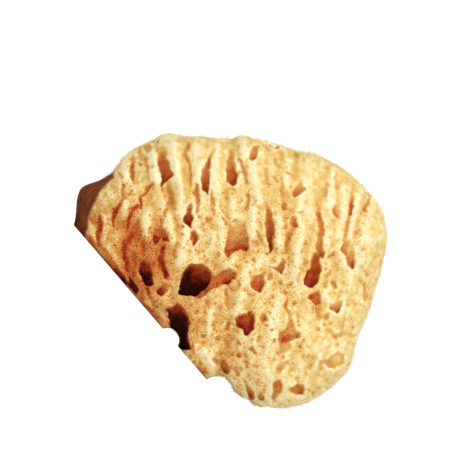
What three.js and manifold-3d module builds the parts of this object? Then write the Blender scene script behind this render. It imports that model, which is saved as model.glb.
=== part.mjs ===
// A natural honeycomb bath sponge, grown as one piece and cut off flat where it held to the rock.
// It is described in its face view: u runs to the right, v up and w towards the viewer, in
// millimetres, and is then turned so that the cut lies flat on the ground. In the finished frame
// X runs along the cut, Y away from the viewer and Z up.

import * as THREE from 'three';
import { mergeVertices } from 'three/addons/utils/BufferGeometryUtils.js';
import Module from 'manifold-3d';

const wasm = await Module();
wasm.setup();

// Driving dimensions, in millimetres and degrees.
const CUT_LEAN = 49.3; // slope of the cut in the face view
const CUT_DROP = 57.7; // from the middle of the face view square down to the cut
const MIDDLE_X = 15.4; // from the middle of the face view to the middle of the sponge, along the cut
const MIDDLE_W = -4.5; // the back bulges more than the face, so the middle lies behind the rim
const HEART = { u: 4, v: -10 }; // the point that the whole form bulges from
const FACE_BULGE = 43;
const BACK_BULGE = 52;
const FULLNESS = 2.6; // 2 is an ellipsoid, more is boxier
const BODY_DETAIL = 9; // rows of facets on each of the twenty first faces
const LUMP_HEIGHT = 0.035; // share of the bulge that the broad lumps add or take
const LUMP_WAVES = [
  { share: 1, along: [4.6, 2.3, 0], shift: 0.2, across: [0, 3.1, -2.4], crossShift: 1.27 },
  { share: 0.7, along: [7.7, -3.1, 0], shift: 4, across: [3.7, 6.9, 0], crossShift: 0.4 },
  { share: 0.5, along: [4.1, 11.3, 0], shift: 2.2, across: [10.1, 0, 5.3], crossShift: 5.1 },
];
const PIT_RISE = 0.55; // how far the pits of the face look up rather than straight out
const ROCK_SIZE = 400; // a block that takes off everything below the cut
const HALVINGS = 30; // how often the search for the face halves its range
const NORMAL_STEP = 0.03; // in radians
const VERTEX_GAP = 1e-4; // closer corners are one
const PIT_FACETS = [
  { deeperThan: 8, facets: [10, 7] },
  { deeperThan: 5, facets: [7, 5] },
  { deeperThan: 0, facets: [6, 4] },
];

// The rim of the face view, clockwise from the left tip. The last points run on below the cut.
const RIM = [
  [-77.5, 5], [-75, 20], [-65, 25], [-58, 30], [-50, 38.5], [-40, 44.3], [-30, 47.5], [-15, 45.7],
  [10, 45.3], [30, 40.5], [45, 36.5], [55, 31], [65, 23.5], [72.5, 15], [77, 4], [78, -5],
  [75.5, -19], [72.5, -30], [67.5, -45], [63, -56], [60, -67.5], [55, -75], [49, -80],
  [40, -85.5], [30, -88.3], [19, -88], [9.5, -84.5], [2, -80], [-5, -74.5], [-14, -78],
  [-30, -76], [-48, -58], [-66, -38], [-79, -18], [-80, -4],
];

// Pits and grooves of the face: u, v, length, width, lean to the right in degrees, depth.
const FACE_PITS = [
  // The row of grooves below the top edge.
  [-41.5, 40, 5, 5, 0, 2.5],
  [-49, 31, 16, 3.8, 0, 3],
  [-32.5, 31, 19, 5, -2, 6],
  [-11.3, 29, 22, 4, 12, 5],
  [-0.2, 30, 22, 4.8, 0, 5],
  [11.5, 38, 9.5, 4, 27, 4],
  [33.5, 37, 5, 5, 0, 2.5],
  [35, 20.5, 9.5, 7.5, 0, 5],
  [60, 14.5, 13, 3.8, 8, 4],
  [58.8, -12, 15, 6, -8, 6],
  [52.5, 8.8, 7.5, 5, 0, 5],
  // The narrow grooves of the left shoulder.
  [-43, 17, 13, 3.6, 28, 3.5],
  [-57, 6.5, 13, 3.6, 18, 3.5],
  [-33.5, 0.5, 15, 3.6, -15, 4],
  [-52.6, -10.5, 13, 3.6, 12, 4],
  [-34, -16, 15.5, 3.8, 0, 4],
  [-41.8, -21.3, 13, 5.5, -12, 7],
  [-47.8, -26.8, 9.5, 3.6, -30, 6],
  [-33.8, -29.5, 9, 6, 20, 6],
  // The middle, with the great hole and the hollow beside it.
  [-21.8, 5, 12.5, 5.5, 8, 7],
  [-18.3, -4.3, 9.5, 4.2, -15, 5.5],
  [3.5, -5, 15, 10, 0, 5],
  [19.3, 0.8, 22, 4.8, -3, 7],
  [31, 3.5, 6.5, 4.2, 0, 5],
  [43.8, -9.8, 9, 5, 0, 6],
  [-17.5, -24.5, 14, 14.5, 10, 15],
  [-8.5, -27.5, 7, 14, 20, 6],
  [-0.5, -23.8, 7, 8.5, 0, 8],
  [-25.5, -46, 20, 9, -10, 13],
  [40.5, -19.3, 19, 7.5, 12, 9],
  [13.2, -27, 9, 6.5, 0, 6],
  [24, -18.8, 9.5, 6, 0, 6],
  [41.8, -34.3, 7.5, 5.5, 0, 6.5],
  [52, -37, 9, 7, 0, 6],
  // The lower lobe.
  [7.3, -46.8, 10.5, 9.5, 0, 8],
  [28.5, -51, 14, 10, 0, 6],
  [-2.5, -67.5, 8, 4, -15, 5],
  [9, -80.5, 8, 6, -45, 5],
  [15.5, -82, 5, 4, 0, 4],
  [23, -79.3, 11, 6, 0, 3],
  [33.5, -79, 6.5, 8, 0, 5],
  [52.3, -65, 10, 9.5, 0, 3.5],
  [52.8, -54, 12, 9.5, 0, 2],
  [66.5, -20.5, 8.5, 4.5, 0, 2.5],
];

// Pits all round the sides, the top, the back and the cut, set out by a spiral over the form.
const OTHER_PITS = 70;
const FACE_SHARE = 0.3; // directions nearer the viewer than this belong to the face
const OTHER_PIT_LENGTH = [7, 15];
const OTHER_PIT_NARROWING = [0.45, 0.9]; // width as a share of the length
const OTHER_PIT_DEPTH = [0.5, 0.95]; // depth as a share of the width
const SEED = 41;

// Channels that the cut laid open: x and y from the middle of the sponge, length, width, depth.
const CUT_PITS = [
  [-52, 6, 9, 7, 7],
  [-44, -13, 7, 5, 5],
  [-33, 18, 8, 6, 6],
  [-30, -2, 11, 8, 9],
  [-12, 22, 7, 5, 5],
  [-10, -14, 9, 6, 7],
  [22, 14, 8, 6, 6],
  [23, -9, 7, 6, 5],
];
// One channel runs right along the cut from the face to the back and notches its edge.
const CUT_NOTCH = { x: 5.5, length: 130, width: 12, depth: 4.2 };

// The same series of numbers between 0 and 1 for a seed, by the Lehmer rule.
function seededRandom(seed) {
  const modulus = 2147483647;
  const multiplier = 16807;
  let state = seed;
  return () => {
    state = (state * multiplier) % modulus;
    return state / modulus;
  };
}

function between(random, [low, high]) {
  return low + (high - low) * random();
}

// The rim as distances from the heart, by angle.
function rimByAngle() {
  const points = RIM.map(([u, v]) => new THREE.Vector3(u, v, 0));
  const curve = new THREE.CatmullRomCurve3(points, true, 'catmullrom', 0.5);
  const steps = points.length * 8;
  const table = [];
  for (let i = 0; i < steps; i += 1) {
    const point = curve.getPoint(i / steps);
    const u = point.x - HEART.u;
    const v = point.y - HEART.v;
    table.push({ angle: Math.atan2(v, u), reach: Math.hypot(u, v) });
  }
  return table.sort((a, b) => a.angle - b.angle);
}

const RIM_TABLE = rimByAngle();

function rimReach(angle) {
  const count = RIM_TABLE.length;
  let next = RIM_TABLE.findIndex((entry) => entry.angle > angle);
  if (next < 0) next = 0;
  const after = RIM_TABLE[next];
  const before = RIM_TABLE[(next + count - 1) % count];
  const turn = 2 * Math.PI;
  const span = (after.angle - before.angle + turn) % turn;
  const share = ((angle - before.angle + turn) % turn) / span;
  return before.reach + (after.reach - before.reach) * share;
}

// Broad lumps and hollows, none at the rim, so that the rim keeps its shape.
function lumps({ x, y, z }) {
  const ripple = ([a, b, c], shift) => Math.sin(a * x + b * y + c * z + shift);
  const height = LUMP_WAVES.reduce(
    (sum, wave) => sum + wave.share * ripple(wave.along, wave.shift) * ripple(wave.across, wave.crossShift),
    0,
  );
  return LUMP_HEIGHT * height * Math.min(1, 2 * Math.abs(z));
}

// How far the surface lies from the heart in a direction of the face view.
function reach(direction) {
  const across = Math.hypot(direction.x, direction.y);
  const bulge = direction.z > 0 ? FACE_BULGE : BACK_BULGE;
  const rim = rimReach(Math.atan2(direction.y, direction.x));
  const power = (across / rim) ** FULLNESS + (Math.abs(direction.z) / bulge) ** FULLNESS;
  return (1 + lumps(direction)) / power ** (1 / FULLNESS);
}

function surfacePoint(direction) {
  const point = direction.clone().multiplyScalar(reach(direction));
  return point.add(new THREE.Vector3(HEART.u, HEART.v, 0));
}

// Turns the face view so that the cut lies flat on the ground, under the middle of the sponge.
function restMatrix() {
  const lean = THREE.MathUtils.degToRad(CUT_LEAN);
  const turned = new THREE.Matrix4().makeRotationZ(lean);
  const stoodUp = new THREE.Matrix4().makeRotationX(Math.PI / 2);
  const moved = new THREE.Matrix4().makeTranslation(-MIDDLE_X, CUT_DROP, -MIDDLE_W);
  return stoodUp.multiply(moved).multiply(turned);
}

function toSolid(geometry) {
  geometry.deleteAttribute('normal');
  geometry.deleteAttribute('uv');
  const merged = mergeVertices(geometry, VERTEX_GAP);
  const vertProperties = new Float32Array(merged.getAttribute('position').array);
  const triVerts = new Uint32Array(merged.getIndex().array);
  return new wasm.Manifold(new wasm.Mesh({ numProp: 3, vertProperties, triVerts }));
}

function toGeometry(solid) {
  const mesh = solid.getMesh();
  const geometry = new THREE.BufferGeometry();
  geometry.setAttribute('position', new THREE.BufferAttribute(mesh.vertProperties, 3));
  geometry.setIndex(new THREE.BufferAttribute(mesh.triVerts, 1));
  return geometry;
}

function bodySolid() {
  const geometry = new THREE.IcosahedronGeometry(1, BODY_DETAIL);
  const position = geometry.getAttribute('position');
  const direction = new THREE.Vector3();
  for (let i = 0; i < position.count; i += 1) {
    direction.fromBufferAttribute(position, i).normalize();
    const point = surfacePoint(direction);
    position.setXYZ(i, point.x, point.y, point.z);
  }
  return toSolid(geometry);
}

// A pit is a stretched ball whose middle lies on the surface.
function pitSolid(at, outward, along, length, width, depth) {
  const { facets } = PIT_FACETS.find(({ deeperThan }) => depth > deeperThan);
  const ball = new THREE.SphereGeometry(1, ...facets);
  const side = new THREE.Vector3().crossVectors(along, outward).normalize();
  const upright = new THREE.Vector3().crossVectors(outward, side);
  const place = new THREE.Matrix4().makeBasis(side, upright, outward).setPosition(at);
  ball.scale(width / 2, length / 2, depth);
  ball.applyMatrix4(place);
  return toSolid(ball);
}

// The direction from the heart in which the face lies over a point of the face view.
function faceDirection(u, v) {
  let near = 0;
  let far = 2 * FACE_BULGE;
  const direction = new THREE.Vector3();
  for (let i = 0; i < HALVINGS; i += 1) {
    const w = (near + far) / 2;
    direction.set(u - HEART.u, v - HEART.v, w);
    const distance = direction.length();
    if (distance < reach(direction.normalize())) near = w;
    else far = w;
  }
  return direction;
}

// The outward normal of the smooth form, from short steps over the surface to both sides.
function outwardNormal(direction) {
  const helper = Math.abs(direction.z) < 0.9 ? new THREE.Vector3(0, 0, 1) : new THREE.Vector3(0, 1, 0);
  const first = new THREE.Vector3().crossVectors(helper, direction).normalize();
  const second = new THREE.Vector3().crossVectors(direction, first);
  const stepped = (along, sign) =>
    surfacePoint(direction.clone().addScaledVector(along, sign * NORMAL_STEP).normalize());
  const one = stepped(first, 1).sub(stepped(first, -1));
  const two = stepped(second, 1).sub(stepped(second, -1));
  return new THREE.Vector3().crossVectors(one, two).normalize();
}

function facePits() {
  return FACE_PITS.map(([u, v, length, width, lean, depth]) => {
    const direction = faceDirection(u, v);
    const outward = outwardNormal(direction).add(new THREE.Vector3(0, PIT_RISE, 0)).normalize();
    const angle = THREE.MathUtils.degToRad(lean);
    const along = new THREE.Vector3(Math.sin(angle), Math.cos(angle), 0);
    return pitSolid(surfacePoint(direction), outward, along, length, width, depth);
  });
}

function otherPits() {
  const random = seededRandom(SEED);
  const goldenTurn = Math.PI * (3 - Math.sqrt(5));
  const pits = [];
  for (let i = 0; i < OTHER_PITS; i += 1) {
    const z = FACE_SHARE - (i + 0.5) * (1 + FACE_SHARE) / OTHER_PITS;
    const ring = Math.sqrt(1 - z * z);
    const angle = goldenTurn * i;
    const direction = new THREE.Vector3(ring * Math.cos(angle), ring * Math.sin(angle), z);
    const along = new THREE.Vector3(random() - 0.5, 1, random() - 0.5);
    const length = between(random, OTHER_PIT_LENGTH);
    const width = length * between(random, OTHER_PIT_NARROWING);
    const depth = width * between(random, OTHER_PIT_DEPTH);
    const at = surfacePoint(direction);
    pits.push(pitSolid(at, outwardNormal(direction), along, length, width, depth));
  }
  return pits;
}

function cutPits() {
  const down = new THREE.Vector3(0, 0, -1);
  const along = new THREE.Vector3(0, 1, 0);
  const notch = [CUT_NOTCH.x, 0, CUT_NOTCH.length, CUT_NOTCH.width, CUT_NOTCH.depth];
  return [...CUT_PITS, notch].map(([x, y, length, width, depth]) =>
    pitSolid(new THREE.Vector3(x, y, 0), down, along, length, width, depth));
}

// Everything on the rock's side of the cut, taken off the body.
function belowCut() {
  const block = new THREE.BoxGeometry(ROCK_SIZE, ROCK_SIZE, ROCK_SIZE);
  block.translate(0, 0, -ROCK_SIZE / 2);
  return toSolid(block);
}

function spongeGeometry() {
  let body = bodySolid();
  for (const pit of [...facePits(), ...otherPits()]) body = body.subtract(pit);
  let standing = toSolid(toGeometry(body).applyMatrix4(restMatrix())).subtract(belowCut());
  for (const pit of cutPits()) standing = standing.subtract(pit);
  const geometry = toGeometry(standing);
  geometry.computeVertexNormals();
  return geometry;
}

const spongeMaterial = new THREE.MeshStandardMaterial({
  color: 0xe3b268,
  roughness: 0.95,
  metalness: 0,
});

const sponge = new THREE.Mesh(spongeGeometry(), spongeMaterial);
sponge.name = 'sponge';

const seaSponge = new THREE.Group();
seaSponge.add(sponge);

export default seaSponge;
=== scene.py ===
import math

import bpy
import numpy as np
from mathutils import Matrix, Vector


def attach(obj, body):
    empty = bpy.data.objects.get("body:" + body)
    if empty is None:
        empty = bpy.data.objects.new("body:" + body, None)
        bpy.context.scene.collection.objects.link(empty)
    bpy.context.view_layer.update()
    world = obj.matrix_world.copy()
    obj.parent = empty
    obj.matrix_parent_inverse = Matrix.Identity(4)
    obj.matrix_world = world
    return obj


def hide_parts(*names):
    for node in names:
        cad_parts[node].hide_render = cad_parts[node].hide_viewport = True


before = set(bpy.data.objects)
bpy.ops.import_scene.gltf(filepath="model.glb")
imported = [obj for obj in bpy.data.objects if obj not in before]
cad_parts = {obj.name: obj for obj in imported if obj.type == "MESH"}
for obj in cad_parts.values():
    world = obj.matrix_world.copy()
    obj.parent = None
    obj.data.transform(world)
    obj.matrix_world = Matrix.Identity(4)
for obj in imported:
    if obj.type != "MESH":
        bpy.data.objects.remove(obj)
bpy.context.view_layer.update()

# A natural honeycomb bath sponge, grown as one lump and cut off flat where it held to the rock.
# The lump is worked out in its face view: u runs to the right, v up and w towards the viewer, in
# millimetres. It is a field, positive inside the sponge, on a grid of cells. Pits, grooves and
# pores are taken out of the field, and its surface is then turned so that the cut lies flat.

MM = 0.001
CELL = 0.6  # step of the grid, in mm
GRID_LOW = (-84.0, -94.0, -58.0)
GRID_HIGH = (83.0, 52.0, 50.0)
MOST_TRIANGLES = 198000
FACE_FAVOUR = 4e-5  # how much longer the triangles of the face are kept

# The form, with the same values as the solid that it replaces.
CUT_LEAN = math.radians(49.3)  # between the cut and the face view's u
CUT_DROP = 57.7  # from the cut up to where u and v are 0
MIDDLE_X = 15.4  # the middle of the sponge's box, along the cut and along w
MIDDLE_W = -4.5
HEART = (4.0, -10.0)  # the point that the form is measured from
FACE_BULGE = 43.0  # how far it bulges out in front of the rim, and behind it
BACK_BULGE = 52.0
FULLNESS = 2.6  # 2 would be an egg shape, and more is squarer
LUMP_HEIGHT = 0.035
# Share, waves and shift along, waves and shift across.
LUMP_WAVES = (
    (1.0, (4.6, 2.3, 0.0), 0.2, (0.0, 3.1, -2.4), 1.27),
    (0.7, (7.7, -3.1, 0.0), 4.0, (3.7, 6.9, 0.0), 0.4),
    (0.5, (4.1, 11.3, 0.0), 2.2, (10.1, 0.0, 5.3), 5.1),
)
# The outline seen in the photo, as u and v, from the left end over the top.
RIM = (
    (-77.5, 5), (-75, 20), (-65, 25), (-58, 30), (-50, 38.5), (-40, 44.3), (-30, 47.5), (-15, 45.7),
    (10, 45.3), (30, 40.5), (45, 36.5), (55, 31), (65, 23.5), (72.5, 15), (77, 4), (78, -5),
    (75.5, -19), (72.5, -30), (67.5, -45), (63, -56), (60, -67.5), (55, -75), (49, -80),
    (40, -85.5), (30, -88.3), (19, -88), (9.5, -84.5), (2, -80), (-5, -74.5), (-14, -78),
    (-30, -76), (-48, -58), (-66, -38), (-79, -18), (-80, -4),
)

# The face is a map of depths over u and v. First the mouths of its larger pits: outline, depth,
# the side of the softer end in degrees from the right, and how far the floor rises towards it.
# Then the smaller grooves, pits and cracks as strokes of u, v, radius, with a depth, and the thick
# ridges that stand up between them as strokes with a height.
MOUTHS = (
    # The grooves and pits below the top edge.
    (((-43.5, 43), (-40, 43.5), (-38.5, 41), (-39.5, 38.5), (-41.5, 37.5), (-43, 39.5)), 2.6, 90, 0.3),
    (((-49.5, 38.5), (-48, 37), (-47.5, 32.5), (-48, 28.5), (-48.5, 24.5), (-49, 23),
      (-49.5, 24.5), (-50, 29), (-50, 34)), 3.2, 90, 0.7),
    (((-33.5, 42.5), (-31.5, 41), (-31, 35), (-29.5, 30), (-28, 27), (-30, 25.5), (-31, 24.5),
      (-33.5, 23), (-34.5, 21), (-34.5, 25), (-35, 29), (-36, 33), (-35, 39)), 7.5, 90, 0.9),
    (((-9, 41.5), (-8, 39), (-9.5, 34), (-10.5, 29), (-10.5, 24), (-11, 20.5), (-12, 19),
      (-11.5, 16.5), (-12.5, 17.5), (-14.5, 20), (-14.5, 25), (-14, 29), (-12, 33.5), (-10, 38.5)),
      6, 90, 0.8),
    (((-1, 40), (1, 40), (1.5, 35), (2, 30), (3, 26), (2.5, 23), (0.5, 21), (-1.5, 23), (-2, 27),
      (-2, 32.5), (-1.5, 37)), 6.5, 90, 0.8),
    (((11, 41.5), (14.5, 42), (14, 39), (12.5, 35), (11, 33.5), (9, 34.5), (10, 38.5)), 4, 80, 0.6),
    (((34.5, 26), (36.5, 22.5), (38.5, 20), (36, 18.5), (33.5, 16.5), (31.5, 15.5), (31, 17),
      (32, 21)), 5.5, 60, 0.9),
    (((61, 21), (61.5, 16), (61.5, 12), (60, 9.5), (59, 6.5), (58, 6.5), (58.5, 11), (59, 15),
      (60, 19)), 4.5, 60, 0.7),
    (((56, -5), (55, -9), (54.5, -10.5), (57, -13.5), (58.5, -17.5), (59.5, -20), (61, -19),
      (62, -15), (61.5, -9), (60, -5), (58, -4)), 6, 20, 0.8),
    (((52, 12.5), (54, 12), (55, 9), (54.5, 6), (52.5, 5), (50.5, 6.5), (50, 9.5), (51, 11.5)),
     3.4, 10, 0.7),
    # The left shoulder.
    (((-38, 24), (-37.5, 22.5), (-40, 20), (-42, 17), (-44, 16), (-44.5, 14), (-44.5, 10.5),
      (-45.5, 10.5), (-45.5, 15), (-44, 18), (-41, 21.5)), 4.5, 60, 0.5),
    (((-35.5, 7), (-34, 5.5), (-33.5, 1), (-31.5, -2.5), (-31, -6), (-33, -6), (-35, -4),
      (-36, -6.5), (-37.5, -7.5), (-38.5, -5), (-38, -1.5), (-36.5, 1), (-36, 4.5)), 5.5, 90, 0.8),
    (((-45.5, -15.5), (-43, -15), (-40, -18), (-39, -22.5), (-38.8, -27), (-40.5, -28),
      (-43.5, -26), (-45.5, -21)), 9, 90, 0.35),
    (((-50, -23), (-48.5, -25), (-46, -28), (-45.5, -30), (-46.5, -31.5), (-48.5, -29.5),
      (-50, -27), (-50.5, -24.5)), 12, 90, 0.2),
    (((-58.5, -19), (-56, -19), (-54, -21), (-52, -25), (-50.5, -28.5), (-52, -28.5), (-55, -24.5),
      (-57, -21.5)), 8, 45, 0.3),
    (((-31, -26.5), (-30.5, -28), (-32.5, -30.5), (-34.5, -33), (-36, -32), (-36.5, -30),
      (-35, -28.5), (-33, -26.5)), 7, 45, 0.6),
    # The middle, with the great hole, its ramp and the hole that the cut laid open.
    (((-20, 13.5), (-19, 10.5), (-19.5, 7), (-19, 4), (-20, 0.5), (-21.5, 1.5), (-23.5, 4),
      (-23, 5.5), (-21.5, 8.5), (-21, 11.5)), 9, 70, 0.6),
    (((-18.5, -0.5), (-17, -3), (-16.5, -5), (-17.5, -7), (-18.5, -9), (-19.5, -6.5), (-20.5, -4),
      (-20, -1.5)), 6.5, 90, 0.4),
    (((-0.5, 6), (4, 7), (7, 3), (9, -4), (8.5, -9), (7.5, -10.5), (5, -9.5), (3.5, -10.5),
      (1, -12), (-0.5, -12), (-2, -14), (-3, -11.5), (-2.5, -7.5), (-2, -1)), 6, 90, 1),
    (((3, -4), (6, -3), (8, -6), (8, -9.5), (5, -9), (2, -10.5), (0, -11.5), (1, -8)), 8.5, 90, 0.5),
    (((18, 12.5), (20, 9), (21, 4), (21.5, -1), (20.5, -6), (20, -9), (19, -12), (18.5, -10),
      (17.5, -5), (17, 1), (17, 7)), 7.5, 90, 0.6),
    (((29.5, 6), (32, 5.5), (33, 2.5), (32.5, 0.5), (30.5, 1), (29, 3)), 6.5, 90, 0.3),
    (((42, -6.5), (45, -5.5), (45.5, -10), (46.5, -11.5), (45.5, -13.5), (43.5, -12), (42, -9.5)),
     7.5, 90, 0.3),
    (((36.5, -26.5), (36, -24), (37.5, -21), (39.5, -19), (40, -14), (41, -11), (43.5, -11.5),
      (44, -16), (44, -21), (43, -25.5), (41, -28.5), (39, -28.5)), 10.5, 90, 0.3),
    (((12, -22.5), (16, -22), (16, -24.5), (16.5, -27), (15, -29.5), (14.5, -31), (12.5, -30),
      (10.5, -28.5), (10.5, -25.5)), 7, 90, 0.3),
    (((25, -14), (27, -16), (26.5, -19.5), (25.5, -22.5), (24, -21.5), (22.5, -20), (20.5, -19),
      (23, -18.5), (24.5, -17)), 5, 90, 0.3),
    (((39, -32), (41.5, -31), (43.5, -30.5), (44, -33.5), (44.5, -35.5), (43.5, -37),
      (41.5, -37.5), (40, -36), (40, -35), (38.5, -33.5)), 8.5, 0, 0.3),
    (((53, -33.5), (55.5, -35), (55, -38), (54, -40), (53, -41.5), (51.5, -40.5), (49.5, -39.5),
      (48.5, -38.5), (50.5, -36)), 5.5, 80, 0.8),
    (((-20, -18), (-15, -17.5), (-11.5, -19), (-10, -21.5), (-9, -23), (-10.5, -25.5),
      (-12.5, -28.5), (-15, -30.5), (-17.5, -32.5), (-22, -32.5), (-26, -31.5), (-25, -28),
      (-24, -24), (-22.5, -20)), 18, 80, 0.45),
    (((-11, -22), (-8, -23), (-4.5, -21), (-1, -20), (2, -22), (3, -23), (2, -24.5), (0, -25),
      (-1, -27), (-4.5, -27), (-7, -28.5), (-10.5, -30), (-13, -32.5), (-15.5, -34), (-19, -33)),
      5.5, 0, 0.2),
    (((-2.5, -20.5), (0, -21), (2, -23), (2, -25), (0, -25), (-1, -27), (-4.5, -27), (-4, -24.5)),
     9.5, 90, 0.6),
    (((-32.5, -39.5), (-29, -38), (-26, -36.5), (-24.5, -37), (-23, -40), (-21.5, -43),
      (-20.5, -46.5), (-21, -51), (-21, -56.5), (-20, -58.5), (-23, -59), (-25.5, -58), (-29, -55),
      (-32, -51), (-30, -48.5), (-30, -45), (-31, -41)), 20, 115, 0.55),
    # The lower lobe.
    (((2.5, -44.5), (4, -43), (8.5, -42), (9, -40.5), (11, -40.5), (11.5, -43), (12, -46.5),
      (11.5, -49), (10, -50.5), (9, -52), (7, -52), (6, -49.5), (4.5, -49), (3, -46.5)), 9, 90, 0.2),
    (((16, -41.5), (17.5, -43.5), (18, -44.5), (16, -46), (15, -44.5)), 3.5, 90, 0.2),
    (((29, -42), (30.5, -45), (32, -48.5), (34.5, -52.5), (33.5, -54), (30, -54.5), (27, -55.5),
      (23.5, -55.5), (23, -53.5), (24.5, -51), (27, -48.5), (28, -45)), 5.5, 60, 0.7),
    (((24.5, -53), (27, -50), (29.5, -49.5), (30.5, -52), (28.5, -54), (25, -54.5)), 8.5, 60, 0.4),
    (((-4, -64), (-2, -66), (-0.5, -69), (-1.5, -71.5), (-3.5, -70.5), (-4.5, -67)), 6, 100, 0.4),
    (((7.5, -77), (9.5, -78), (11.5, -80.5), (12.5, -83.5), (11.5, -85), (9.5, -83.5), (8.5, -80)),
     6, 100, 0.3),
    (((14, -82), (15.5, -80.5), (17, -83), (17, -84.5), (15, -84)), 4, 90, 0.2),
    (((21, -75.5), (24.5, -74.5), (26, -78), (25, -81), (23.5, -85), (21.5, -86), (20.5, -82)),
     4.2, 270, 0.6),
    (((29, -79.5), (32, -78), (33.5, -76), (36, -77), (37, -79.5), (36, -81.5), (33, -82),
      (30.5, -80.5)), 4.8, 270, 0.4),
    (((53.5, -60), (56.5, -62), (57, -65.5), (54.5, -68), (51.5, -69.5), (48.5, -68), (48, -65),
      (50.5, -62)), 2.8, 0, 0.3),
)

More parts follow.
